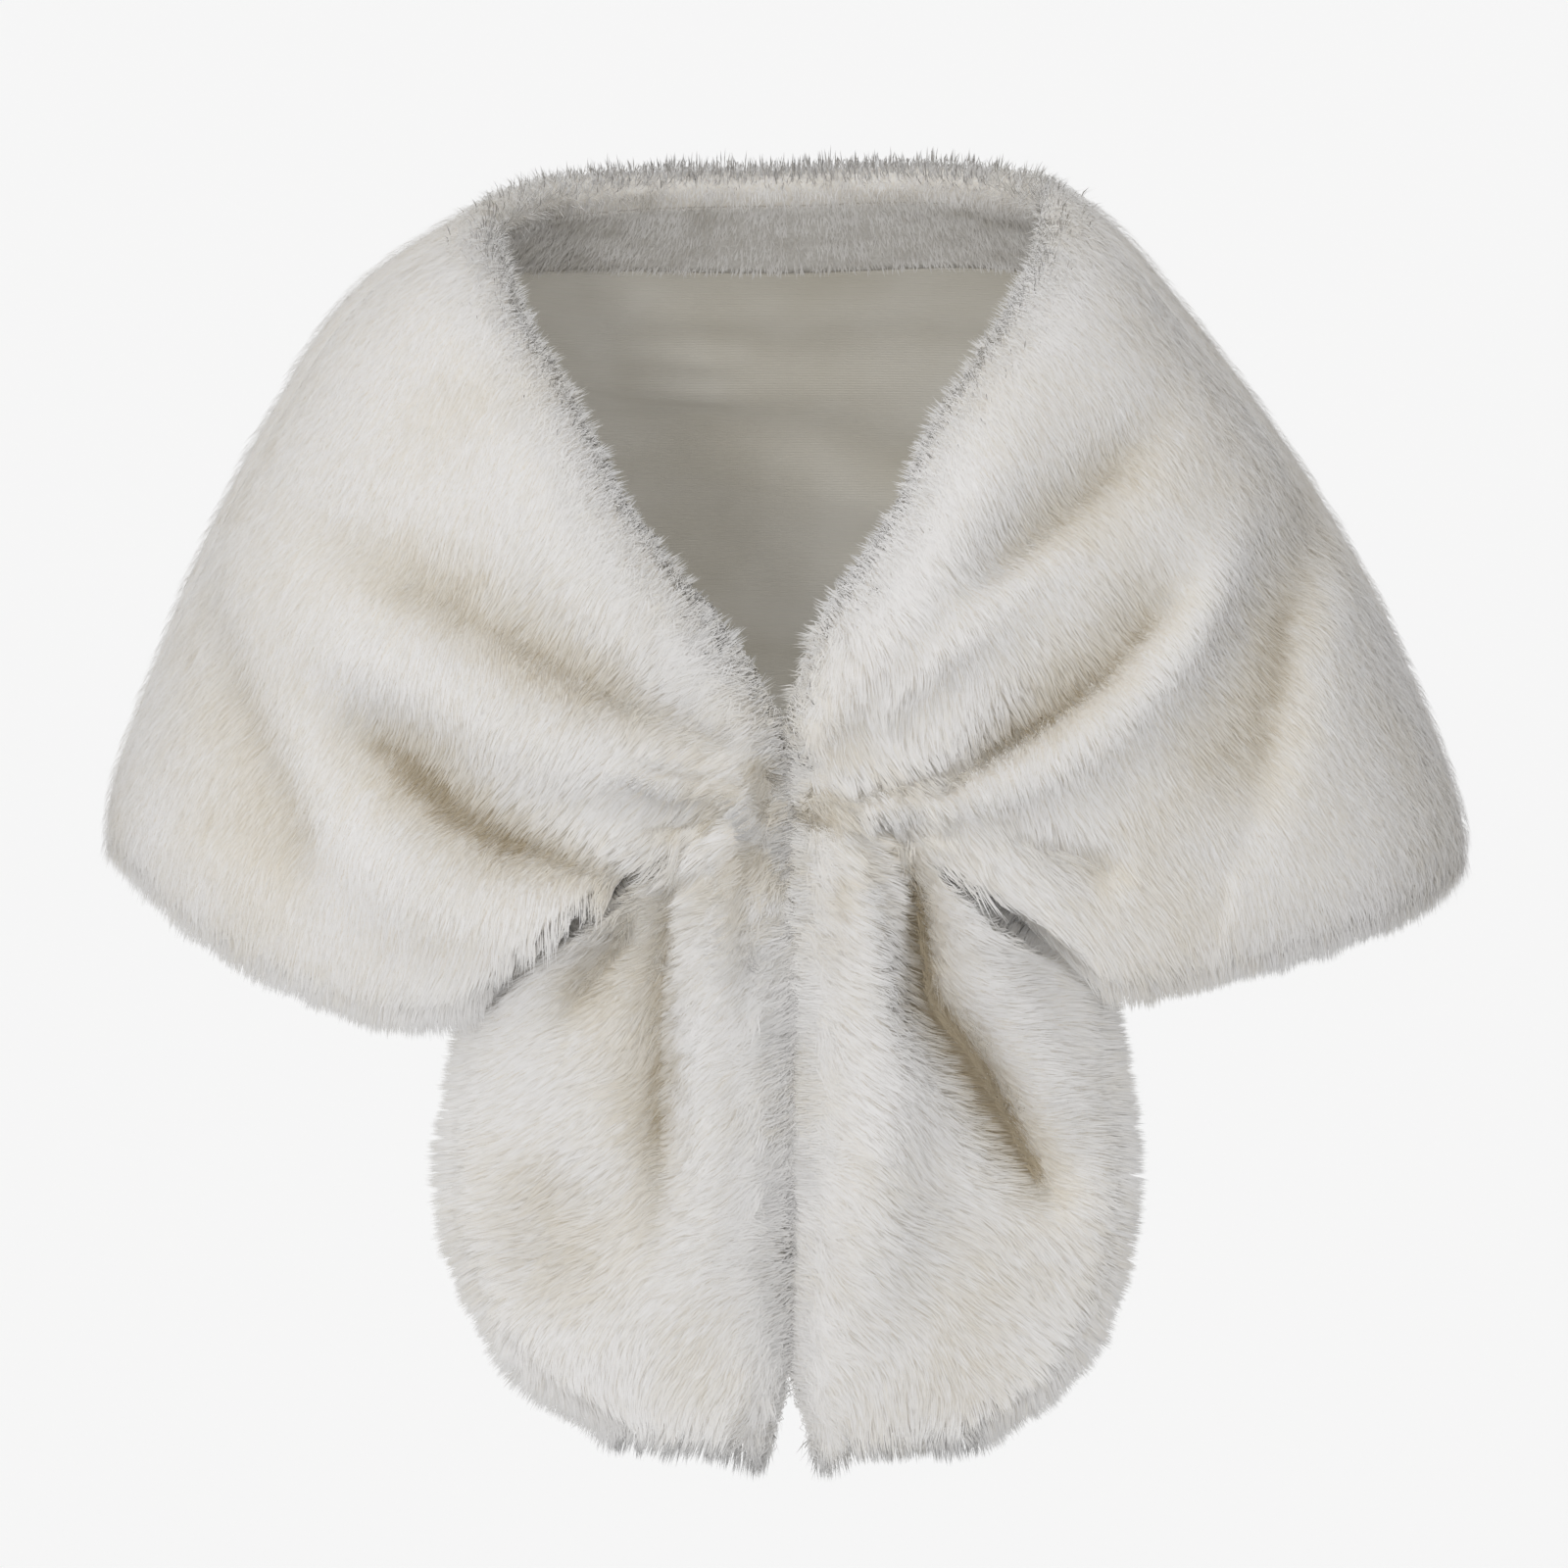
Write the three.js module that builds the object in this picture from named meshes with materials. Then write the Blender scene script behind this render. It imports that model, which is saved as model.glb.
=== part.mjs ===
// Faux fur shawl, worn and hollow: one long band of plush fur on a knitted backing, laid over
// both shoulders, gathered at the centre front by a hidden hook, with two rounded tails below.
// Millimetres, +Z up, the front faces -Y. The origin lies midway between the tops of the
// shoulders that carry it. Left and right are the wearer's, so left is +X.
import * as THREE from "three";

// ---- Driving sizes ----
const PILE = 20; // depth of the fur over the backing, and so of the wall
const NECK_REACH = 8; // how far the fur stands past the neck edge of the backing
const SEAM = 0.3; // gap between pieces that are sewn together
const LINING = 1.2; // thickness of the satin lining
const FACING_PILE = 7; // its flattened fur
const INNER_SHARE = 0.35; // share of each fold that shows on the inside
const DEEPEST_FOLD = 16; // folds rise and sink at most this much
const SQUARENESS = 0.14; // how much fuller than an ellipse the figure is in plan
const SIDE_FADE = 45; // folds die away within this depth of the line over the shoulders
const GATHER_RANGE = 85; // folds grow narrower within this distance of the gather
const NARROWEST = 0.4; // and this narrow at it
const CALM_RANGE = 52; // folds also grow flatter within this distance of the gather
const CALMEST = 0.5; // and this flat at it
const GATHER_BLEND = 0.7; // the fronts' folds turn into the tails' this many rows either side of it

const SECTION_COUNTS = { back: 29, front: 23, tail: 17 }; // sections along each stretch
const OUTSIDE_POINTS = 18; // across the fur side
// Places across the lining side, as shares of the band's width from the neck edge to the hem.
const INSIDE_SHARES = [0, 0.012, 0.07, 0.125, 0.14, 0.25, 0.38, 0.52, 0.67, 0.82, 0.977, 1];
const FACING_SPAN = [0.012, 0.125]; // the facing covers these shares inside the back neck
const BACK_LINING_SPAN = [0.14, 0.977];
const LINING_SPAN = [0.012, 0.977];
const EDGE_STEPS = 4; // facets round the edge of the fur wall
const SKIN_EDGE_STEPS = 2; // and round the edge of a lining or facing
const END_STEPS = 3; // rings round the end of a tail
const END_REACH = 14; // how far the fur stands past the end of a tail

// ---- The general figure under the cloth: half-widths and depths of the backing by height ----
const FIGURE = [
  { height: 12, rightWidth: 80, leftWidth: 76, front: 26, back: 62 },
  { height: -20, rightWidth: 121, leftWidth: 114, front: 62, back: 84 },
  { height: -54, rightWidth: 166, leftWidth: 143, front: 92, back: 102 },
  { height: -100, rightWidth: 196, leftWidth: 178, front: 118, back: 117 },
  { height: -140, rightWidth: 217, leftWidth: 204, front: 130, back: 126 },
  { height: -184, rightWidth: 236, leftWidth: 228, front: 137, back: 132 },
  { height: -264, rightWidth: 263, leftWidth: 258, front: 138, back: 140 },
  { height: -320, rightWidth: 266, leftWidth: 262, front: 134, back: 143 },
  { height: -520, rightWidth: 266, leftWidth: 262, front: 132, back: 143 },
];

// ---- The band, section by section from the centre back to the end of a tail ----
// Turn is in degrees round the figure: 0 at the back, 90 at the side, 180 at the front.
// Pairs are [wearer's right, wearer's left]. Reach is how far the fur stands past the hem, and
// tuck how far the hem stands out from the figure, where negative is tucked in behind.
const SECTIONS = [
  { neckTurn: [0, 0], neckHeight: [-8, -8],
    hemTurn: [0, 0], hemHeight: [-286, -286], reach: 14, tuck: 0 },
  { neckTurn: [30, 30], neckHeight: [-9, -6],
    hemTurn: [24, 24], hemHeight: [-285, -285], reach: 14, tuck: 0 },
  { neckTurn: [58, 58], neckHeight: [-12, -9],
    hemTurn: [48, 48], hemHeight: [-280, -282], reach: 14, tuck: 0 },
  { neckTurn: [82, 82], neckHeight: [-17, -11],
    hemTurn: [70, 70], hemHeight: [-270, -276], reach: 14, tuck: 0 },
  { neckTurn: [106, 107], neckHeight: [-24, -16],
    hemTurn: [91, 91], hemHeight: [-261, -268], reach: 14, tuck: 0 },
  { neckTurn: [130, 132], neckHeight: [-38, -36],
    hemTurn: [108, 108], hemHeight: [-264, -272], reach: 14, tuck: 0 },
  { neckTurn: [146, 149], neckHeight: [-63, -63],
    hemTurn: [122, 122], hemHeight: [-279, -279], reach: 14, tuck: 0 },
  { neckTurn: [155, 160], neckHeight: [-90, -90],
    hemTurn: [133, 133], hemHeight: [-294, -286], reach: 14, tuck: 0 },
  { neckTurn: [161.5, 166], neckHeight: [-120, -119],
    hemTurn: [142, 142], hemHeight: [-306, -293], reach: 14, tuck: 2 },
  { neckTurn: [167.5, 171], neckHeight: [-147, -145],
    hemTurn: [149, 149.5], hemHeight: [-311, -298], reach: 14, tuck: 5 },
  { neckTurn: [172.5, 175], neckHeight: [-172, -166],
    hemTurn: [154.5, 154.6], hemHeight: [-307, -299], reach: 12, tuck: 8 },
  { neckTurn: [175.8, 177], neckHeight: [-192, -186],
    hemTurn: [159, 158], hemHeight: [-290, -290], reach: 5, tuck: 8 },
  { neckTurn: [177.6, 178], neckHeight: [-207, -202],
    hemTurn: [164.6, 162.3], hemHeight: [-269, -273.5], reach: 1.5, tuck: 5 },
  { neckTurn: [178.3, 178.3], neckHeight: [-226, -224],
    hemTurn: [171.2, 169], hemHeight: [-254.5, -257.5], reach: 0.3, tuck: 0 },
  { neckTurn: [178.4, 178.4], neckHeight: [-260, -256],
    hemTurn: [164.4, 162.4], hemHeight: [-285.5, -291], reach: 1.5, tuck: -12 },
  { neckTurn: [178.5, 178.5], neckHeight: [-299, -295],
    hemTurn: [157.8, 157.2], hemHeight: [-306, -305], reach: 9, tuck: -21 },
  { neckTurn: [178.5, 178.5], neckHeight: [-342, -340],
    hemTurn: [155.4, 155.6], hemHeight: [-350, -340], reach: 14, tuck: -19 },
  { neckTurn: [178.5, 178.5], neckHeight: [-385, -385],
    hemTurn: [154.6, 154.6], hemHeight: [-394, -392], reach: 14, tuck: -12 },
  { neckTurn: [178.4, 178.4], neckHeight: [-425, -425],
    hemTurn: [156.8, 156.2], hemHeight: [-432, -432], reach: 14, tuck: -8 },
  { neckTurn: [178.3, 178.3], neckHeight: [-461, -461],
    hemTurn: [161, 160], hemHeight: [-462, -462], reach: 14, tuck: -5 },
  { neckTurn: [177.3, 177.1], neckHeight: [-486, -486],
    hemTurn: [167, 166], hemHeight: [-481, -482], reach: 12, tuck: -3 },
];
const SHOULDER = 4; // row where the back ends and the fronts begin
const GATHER = 13; // row of the gather, where the tails begin
const TAIL_END = SECTIONS.length - 1;
const GATHER_PLACE = { "-1": [-30, -238], "1": [32, -234] }; // x and z of the gather

// ---- Folds: soft ridges and troughs along lines in the front plane ----
// Walking along a line of [x, z] points, wide is its half-width on the left and on the right.
// Start and end are the share of its height that it has there. A low crisp is a sharper crease.
const FOLDS = [
  // wearer's right front
  { on: "front", height: -11, wide: [17, 15], start: 0, end: 0.5, crisp: 1.7,
    line: [[-205, -112], [-146, -147], [-110, -166], [-64, -190], [-24, -208]] },
  { on: "front", height: 7, wide: [20, 16], start: 0, end: 0.7, crisp: 2,
    line: [[-215, -160], [-150, -182], [-100, -206], [-52, -226]] },
  { on: "front", height: -16, wide: [15, 16], start: 0.1, end: 0.6, crisp: 1.5,
    line: [[-186, -186], [-159, -208], [-127, -236], [-98, -250], [-60, -262]] },
  { on: "front", height: 8, wide: [16, 18], start: 0, end: 0.5, crisp: 2,
    line: [[-196, -228], [-150, -262], [-112, -276], [-76, -272]] },
  { on: "front", height: -7, wide: [9, 26], start: 0.2, end: 0.1, crisp: 1.5,
    line: [[-226, -135], [-213, -188], [-197, -230], [-190, -256], [-202, -280]] },
  { on: "front", height: 6, wide: [22, 18], start: 0.2, end: 0.6, crisp: 2,
    line: [[-120, -55], [-98, -110], [-62, -160], [-22, -200]] },
  // wearer's left front
  { on: "front", height: 7, wide: [16, 18], start: 0.2, end: 0.7, crisp: 2,
    line: [[106, -50], [72, -106], [42, -156], [14, -200]] },
  { on: "front", height: -10, wide: [14, 13], start: 0, end: 0.2, crisp: 1.6,
    line: [[162, -86], [118, -124], [90, -143], [54, -166]] },
  { on: "front", height: 6, wide: [10, 12], start: 0, end: 0.5, crisp: 2,
    line: [[128, -128], [90, -153], [60, -175], [36, -196]] },
  { on: "front", height: -16, wide: [13, 15], start: 0.1, end: 0.6, crisp: 1.5,
    line: [[172, -92], [150, -146], [118, -188], [80, -211], [50, -234]] },
  { on: "front", height: 9, wide: [15, 13], start: 0.1, end: 0.6, crisp: 2,
    line: [[186, -100], [164, -156], [130, -200], [96, -222], [58, -236]] },
  { on: "front", height: -12, wide: [30, 12], start: 0.1, end: 0.3, crisp: 1.7,
    line: [[204, -126], [199, -190], [184, -250]] },
  { on: "front", height: -8, wide: [9, 8], start: 0, end: 0.4, crisp: 1.8,
    line: [[132, -262], [112, -254], [88, -244]] },
  // tails
  { on: "tail", height: 10, wide: [17, 17], start: 0.6, end: 0, crisp: 2.2,
    line: [[-20, -240], [-24, -320], [-24, -400], [-30, -462]] },
  { on: "tail", height: -9, wide: [6, 16], start: 0.7, end: 0, crisp: 1.6,
    line: [[-38, -246], [-47, -296], [-49, -360], [-52, -430]] },
  { on: "tail", height: -9, wide: [9, 10], start: 0.6, end: 0, crisp: 1.8,
    line: [[-58, -272], [-70, -298], [-100, -338]] },
  { on: "tail", height: -5, wide: [22, 22], start: 0, end: 0, crisp: 2,
    line: [[-76, -370], [-86, -410], [-92, -455]] },
  { on: "tail", height: 10, wide: [16, 16], start: 0.6, end: 0, crisp: 2,
    line: [[20, -238], [30, -290], [34, -350], [30, -410], [26, -460]] },
  { on: "tail", height: -15, wide: [13, 9], start: 0.7, end: 0, crisp: 1.5,
    line: [[42, -240], [50, -270], [55, -315], [74, -350], [94, -386], [106, -418]] },
  { on: "tail", height: 7, wide: [14, 14], start: 0.5, end: 0, crisp: 2,
    line: [[62, -262], [84, -310], [102, -350], [114, -390]] },
  // back: shallow swags from shoulder to shoulder and a soft pull below each shoulder blade
  { on: "back", height: -6, wide: [18, 22], start: 0, end: 0, crisp: 2,
    line: [[-190, -96], [-110, -132], [-10, -148], [90, -136], [170, -104]] },
  { on: "back", height: 5, wide: [24, 26], start: 0, end: 0, crisp: 2,
    line: [[-205, -150], [-120, -192], [-15, -205], [100, -196], [190, -156]] },
  { on: "back", height: -6, wide: [20, 20], start: 0, end: 0.2, crisp: 2,
    line: [[-120, -200], [-140, -240], [-150, -280]] },
  { on: "back", height: -6, wide: [20, 24], start: 0, end: 0.2, crisp: 2,
    line: [[96, -206], [112, -244], [118, -282]] },
  { on: "back", height: -5, wide: [16, 20], start: 0, end: 0.2, crisp: 2,
    line: [[-14, -226], [-20, -256], [-24, -284]] },
];

// ---- Curves through table rows ----
// The value at place t of a smooth curve through values at the given rising places.
function through(places, values, t) {
  const last = places.length - 1;
  let i = 0;
  while (i < last - 1 && t > places[i + 1]) i += 1;
  const slopeAt = (k) => {
    const a = Math.max(k - 1, 0);
    const b = Math.min(k + 1, last);
    return (values[b] - values[a]) / (places[b] - places[a]);
  };
  const span = places[i + 1] - places[i];
  const s = Math.min(Math.max((t - places[i]) / span, 0), 1);
  const rise = values[i + 1] - values[i];
  const from = slopeAt(i) * span;
  const to = slopeAt(i + 1) * span;
  return values[i] + s * (from + s * (3 * rise - 2 * from - to + s * (from + to - 2 * rise)));
}

function smooth(s) {
  const c = Math.min(Math.max(s, 0), 1);
  return c * c * (3 - 2 * c);
}

const FIGURE_DROPS = FIGURE.map((row) => -row.height);
function figureSize(name, height) {
  return through(FIGURE_DROPS, FIGURE.map((row) => row[name]), -height);
}

// A point of the backing on the figure. Side is -1 for the wearer's right and 1 for the left.
function onFigure(side, turn, height) {
  const angle = THREE.MathUtils.degToRad(turn);
  const across = Math.sin(angle);
  const along = Math.cos(angle);
  const width = figureSize(side < 0 ? "rightWidth" : "leftWidth", height);
  const depth = figureSize(along > 0 ? "back" : "front", height);
  return new THREE.Vector3(
    side * width * across * (1 + SQUARENESS * along * along),
    depth * along * (1 + SQUARENESS * across * across),
    height,
  );
}

// The outward direction of the figure there.
function outward(side, turn, height) {
  const round = onFigure(side, turn + 0.5, height).sub(onFigure(side, turn - 0.5, height));
  const up = onFigure(side, turn, height + 1).sub(onFigure(side, turn, height - 1));
  return round.cross(up).multiplyScalar(-side).normalize();
}

// ---- Sections ----
const ROWS = SECTIONS.map((row, index) => index);
const TRACE_STEPS = 36;

function sizesAt(side, t) {
  const pick = side < 0 ? 0 : 1;
  const of = (name) => through(ROWS, SECTIONS.map((row) => row[name][pick]), t);
  return {
    neckTurn: of("neckTurn"),
    neckHeight: of("neckHeight"),
    hemTurn: of("hemTurn"),
    hemHeight: of("hemHeight"),
    reach: through(ROWS, SECTIONS.map((row) => row.reach), t),
    tuck: through(ROWS, SECTIONS.map((row) => row.tuck), t),
  };
}

// One section of the backing, traced over the figure from its neck edge to its hem.
function sectionAt(side, t) {
  const sizes = sizesAt(side, t);
  const turnAt = (w) => THREE.MathUtils.lerp(sizes.neckTurn, sizes.hemTurn, w);
  const heightAt = (w) => THREE.MathUtils.lerp(sizes.neckHeight, sizes.hemHeight, w);
  const lengths = [0];
  let before = onFigure(side, turnAt(0), heightAt(0));
  for (let i = 1; i <= TRACE_STEPS; i += 1) {
    const here = onFigure(side, turnAt(i / TRACE_STEPS), heightAt(i / TRACE_STEPS));
    lengths.push(lengths[i - 1] + here.distanceTo(before));
    before = here;
  }
  const length = lengths[TRACE_STEPS];
  // The point a share v of the section's length from the neck edge.
  const at = (v) => {
    let i = 0;
    while (i < TRACE_STEPS - 1 && lengths[i + 1] < v * length) i += 1;
    const w = (i + (v * length - lengths[i]) / (lengths[i + 1] - lengths[i])) / TRACE_STEPS;
    const out = outward(side, turnAt(w), heightAt(w));
    const place = onFigure(side, turnAt(w), heightAt(w));
    return { place: place.addScaledVector(out, sizes.tuck * smooth(w)), out };
  };
  return { side, t, length, reach: sizes.reach, at };
}

// A section with its near neighbours, which show the direction of the edges there.
function sectionWithNeighbours(side, t) {
  const near = 0.12;
  const before = sectionAt(side, Math.max(t - near, 0));
  const after = sectionAt(side, Math.min(t + near, TAIL_END));
  return { ...sectionAt(side, t), before, after };
}

// Sections spaced evenly along the middle of a stretch from row t0 to row t1 of one side.
function spread(side, t0, t1, count) {
  const steps = 160;
  const places = [];
  const lengths = [0];
  for (let i = 0; i <= steps; i += 1) {
    places.push(sectionAt(side, t0 + ((t1 - t0) * i) / steps).at(0.5).place);
    if (i > 0) lengths.push(lengths[i - 1] + places[i].distanceTo(places[i - 1]));
  }
  return Array.from({ length: count }, (_, k) => {
    const wanted = (lengths[steps] * k) / (count - 1);
    let i = 0;
    while (i < steps - 1 && lengths[i + 1] < wanted) i += 1;
    const share = (wanted - lengths[i]) / (lengths[i + 1] - lengths[i]);
    return t0 + ((t1 - t0) * (i + share)) / steps;
  });
}

// ---- Folds ----
const LINE_STEPS = 18;

function foldLine(fold) {
  const places = fold.line.map((point, index) => index);
  const last = places.length - 1;
  return Array.from({ length: LINE_STEPS + 1 }, (_, i) => {
    const t = (last * i) / LINE_STEPS;
    return [0, 1].map((axis) => through(places, fold.line.map((point) => point[axis]), t));
  });
}

const FOLD_LINES = FOLDS.map((fold) => ({ ...fold, points: foldLine(fold) }));

function foldHeight(fold, x, z, narrowing) {
  let best = { distance: Infinity, signed: 0, share: 0 };
  for (let i = 0; i < LINE_STEPS; i += 1) {
    const [ax, az] = fold.points[i];
    const [bx, bz] = fold.points[i + 1];
    const [dx, dz] = [bx - ax, bz - az];
    const size = Math.hypot(dx, dz);
    const s = Math.min(Math.max(((x - ax) * dx + (z - az) * dz) / size ** 2, 0), 1);
    const distance = Math.hypot(x - ax - s * dx, z - az - s * dz);
    if (distance < best.distance) {
      const left = dx * (z - az) - dz * (x - ax) > 0;
      best = { distance, left, share: (i + s) / LINE_STEPS };
    }
  }
  const wide = narrowing * fold.wide[best.left ? 0 : 1];
  const begins = THREE.MathUtils.lerp(fold.start, 1, smooth(best.share / 0.35));
  const finishes = THREE.MathUtils.lerp(fold.end, 1, smooth((1 - best.share) / 0.35));
  return fold.height * begins * finishes * Math.exp(-((best.distance / wide) ** fold.crisp));
}

// How far the folds lift the fur at a place of the backing in section t.
function foldsAt(side, t, place) {
  const [gatherX, gatherZ] = GATHER_PLACE[side];
  const away = Math.hypot(place.x - gatherX, place.z - gatherZ);
  const onBack = place.y > 0;
  const narrowing = onBack ? 1 : Math.min(Math.max(away / GATHER_RANGE, NARROWEST), 1);
  const calm = onBack ? 1 : THREE.MathUtils.lerp(CALMEST, 1, smooth(away / CALM_RANGE));
  const fade = smooth(Math.abs(place.y) / SIDE_FADE);
  const tailShare = onBack ? 0 : smooth(0.5 + (t - GATHER) / (2 * GATHER_BLEND));
  const shares = { back: onBack ? 1 : 0, front: onBack ? 0 : 1 - tailShare, tail: tailShare };
  let sum = 0;
  for (const fold of FOLD_LINES) {
    const share = shares[fold.on];
    if (share > 0) sum += share * foldHeight(fold, place.x, place.z, narrowing);
  }
  return fade * calm * DEEPEST_FOLD * Math.tanh(sum / DEEPEST_FOLD);
}

// ---- Walls ----
// A wall's section: one ring of points from the neck edge over the outside to the hem and back
// inside. Layer gives the wall's faces as distances out from the backing, each with the share
// of the fold that it takes, and the places across each face.
function wallRing(section, layer) {
  const raised = (v, face) => {
    const { place, out } = section.at(v);
    const lift = foldsAt(section.side, section.t, place);
    return place.clone().addScaledVector(out, face.rise + face.foldShare * lift);
  };
  // The rounded edge at share v, from the outside to the inside.
  const edge = (v, towards, reach) => {
    const { place, out } = section.at(v);
    const outer = raised(v, layer.outer);
    const middle = outer.clone().add(raised(v, layer.inner)).multiplyScalar(0.5);
    const radius = outer.sub(middle);
    // Off the edge: halfway between square to the edge and straight on along the section.
    const along = section.after.at(v).place.sub(section.before.at(v).place);
    const onward = place.clone().sub(section.at(v + towards).place);
    onward.addScaledVector(out, -onward.dot(out)).normalize();
    const square = along.cross(out).normalize();
    if (square.dot(onward) < 0) square.negate();
    const off = square.add(onward).normalize();
    return Array.from({ length: layer.edgeSteps - 1 }, (_, i) => {
      const angle = (Math.PI * (i + 1)) / layer.edgeSteps;
      return middle.clone()
        .addScaledVector(radius, Math.cos(angle))
        .addScaledVector(off, reach * Math.sin(angle));
    });
  };
  const [neck, hem] = [layer.across[0], layer.across.at(-1)];
  return [
    ...layer.across.map((v) => raised(v, layer.outer)),
    ...edge(hem, -0.02, layer.hemReach ?? section.reach),
    ...layer.back.map((v) => raised(v, layer.inner)).reverse(),
    ...edge(neck, 0.02, layer.neckReach).reverse(),
  ];
}

// The rounded end of a tail: rings that close in on the middle of the wall as they move on.
function endRings(last, layer, reach) {
  const hem = layer.across.length - 1;
  const deep = layer.back.length - 1;
  const insideStart = hem + layer.edgeSteps;
  const middleOf = (i) => {
    if (i <= hem) {
      const opposite = insideStart + Math.round(((hem - i) * deep) / hem);
      return last[i].clone().add(last[opposite]).multiplyScalar(0.5);
    }
    if (i < insideStart) return middleOf(hem);
    if (i > insideStart + deep) return middleOf(0);
    return middleOf(Math.round(((insideStart + deep - i) * hem) / deep));
  };
  const across = last[hem].clone().sub(last[0]);
  const thick = last[0].clone().sub(last[insideStart + deep]);
  const onward = across.cross(thick).normalize();
  if (onward.z > 0) onward.negate();
  return Array.from({ length: END_STEPS }, (_, k) => {
    const angle = (Math.PI / 2) * ((k + 1) / (END_STEPS + 0.4));
    return last.map((point, i) =>
      middleOf(i).lerp(point, Math.cos(angle)).addScaledVector(onward, reach * Math.sin(angle)),
    );
  });
}

// A closed solid through rings of the same number of points, with a cap on each end.
function solidThrough(rings, layer) {
  const size = rings[0].length;
  const positions = rings.flat().flatMap((point) => [point.x, point.y, point.z]);
  const faces = [];
  const hem = layer.across.length - 1;
  const insideStart = hem + layer.edgeSteps;
  const insideEnd = insideStart + layer.back.length - 1;
  for (let r = 0; r < rings.length - 1; r += 1) {
    for (let i = 0; i < size; i += 1) {
      const j = (i + 1) % size;
      const [a, b, c, d] = [r * size + i, r * size + j, (r + 1) * size + j, (r + 1) * size + i];
      // Both faces of every wall are split the same way, so that sewn layers lie parallel.
      if (i >= insideStart && i < insideEnd) faces.push([a, b, d], [b, c, d]);
      else faces.push([a, b, c], [a, c, d]);
    }
  }
  // A cap is zipped up between the outside and the inside, from the neck edge to the hem.
  const half = layer.edgeSteps / 2;
  const neckApex = insideEnd + half;
  const hemApex = hem + half;
  const outside = [];
  for (let i = neckApex; i !== hemApex; i = (i + 1) % size) outside.push(i);
  outside.push(hemApex);
  const inside = [];
  for (let i = neckApex; i !== hemApex; i = (i + size - 1) % size) inside.push(i);
  inside.push(hemApex);
  const cap = (base, flip) => {
    let [i, j] = [0, 0];
    while (i < outside.length - 1 || j < inside.length - 1) {
      const outsideFirst = (i + 1) / (outside.length - 1) <= (j + 1) / (inside.length - 1);
      const onOutside = j === inside.length - 1 || (i < outside.length - 1 && outsideFirst);
      const corners = onOutside
        ? [outside[i], outside[i + 1], inside[j]]
        : [outside[i], inside[j + 1], inside[j]];
      if (onOutside) i += 1;
      else j += 1;
      if (new Set(corners).size < 3) continue;
      const face = corners.map((corner) => base + corner);
      faces.push(flip ? face.reverse() : face);
    }
  };
  cap(0, true);
  cap((rings.length - 1) * size, false);
  const geometry = new THREE.BufferGeometry();
  geometry.setAttribute("position", new THREE.Float32BufferAttribute(positions, 3));
  geometry.setIndex(faces.flat());
  return facingOut(geometry);
}

// Turns the faces round where the solid's volume comes out negative.
function facingOut(geometry) {
  const place = geometry.getAttribute("position");
  const index = geometry.getIndex().array;
  const corner = (i) => new THREE.Vector3().fromBufferAttribute(place, index[i]);
  let volume = 0;
  for (let i = 0; i < index.length; i += 3) {
    volume += corner(i).dot(corner(i + 1).cross(corner(i + 2)));
  }
  if (volume < 0) {
    for (let i = 0; i < index.length; i += 3) {
      [index[i], index[i + 1]] = [index[i + 1], index[i]];
    }
  }
  geometry.computeVertexNormals();
  return geometry;
}

// ---- Layers of the shawl, as distances out from the backing ----
const SHELL = {
  outer: { rise: PILE, foldShare: 1 },
  inner: { rise: 0, foldShare: INNER_SHARE },
  across: Array.from({ length: OUTSIDE_POINTS }, (_, i) => i / (OUTSIDE_POINTS - 1)),
  back: INSIDE_SHARES,
  neckReach: NECK_REACH,
  edgeSteps: EDGE_STEPS,
};

// A skin sewn to the inside of the shell, over a span of the shares across it.
function skin(thickness, [from, to]) {
  const shares = INSIDE_SHARES.filter((share) => share >= from && share <= to);
  return {
    outer: { rise: -SEAM, foldShare: INNER_SHARE },
    inner: { rise: -SEAM - thickness, foldShare: INNER_SHARE },
    across: shares,
    back: shares,
    neckReach: thickness / 6,
    hemReach: thickness / 6,
    edgeSteps: SKIN_EDGE_STEPS,
  };
}

const LINING_LAYER = skin(LINING, LINING_SPAN);
const BACK_LINING_LAYER = skin(LINING, BACK_LINING_SPAN);
const FACING_LAYER = skin(FACING_PILE, FACING_SPAN);

// ---- Hidden hook and eye, on the lining just below the gather ----
const CLASP = {
  row: GATHER + 0.5, // between the gather and the next row down the tails
  rowSpan: 0.2, // the plates cover this many rows either way
  seat: 0.5, // clear of the lining's rearmost place under the plates
  gap: 0.4, // clear between hook and eye
  sheet: 0.8, // steel
  far: 20, // the plates reach this far out from the middle
  onLining: 12, // and lie on this much of the lining
  height: 11, // of the eye's plate
  strap: 4, // width of the hook's strap
  riseFrom: 7, // the strap rises over the eye from here
  riseTo: 4.6, // to here, out from the middle
  bar: 2.6, // where the eye's bar starts, left of the middle
  barWidth: 1.6,
  slot: 4.6, // length of the slot beyond the bar
  slotHeight: 6.5,
  tip: 1, // how far the hook's tip stands past the bar
};

// Height of the clasp, and how far back the lining reaches where the plates lie.
function claspSeat() {
  const { row, rowSpan, onLining } = CLASP;
  let back = -Infinity;
  for (const side of [-1, 1]) {
    for (const t of [row - rowSpan, row, row + rowSpan]) {
      const section = sectionAt(side, t);
      for (let from = 0; from <= onLining; from += 2) {
        const { place, out } = section.at(from / section.length);
        const rise = -SEAM - LINING + INNER_SHARE * foldsAt(side, t, place);
        back = Math.max(back, place.addScaledVector(out, rise).y);
      }
    }
  }
  return { front: back + CLASP.seat, height: sectionAt(-1, row).at(0).place.z };
}

function rectangle(left, bottom, width, height) {
  const path = new THREE.Path();
  path.moveTo(left, bottom);
  path.lineTo(left + width, bottom);
  path.lineTo(left + width, bottom + height);
  path.lineTo(left, bottom + height);
  path.closePath();
  return path;
}

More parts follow.
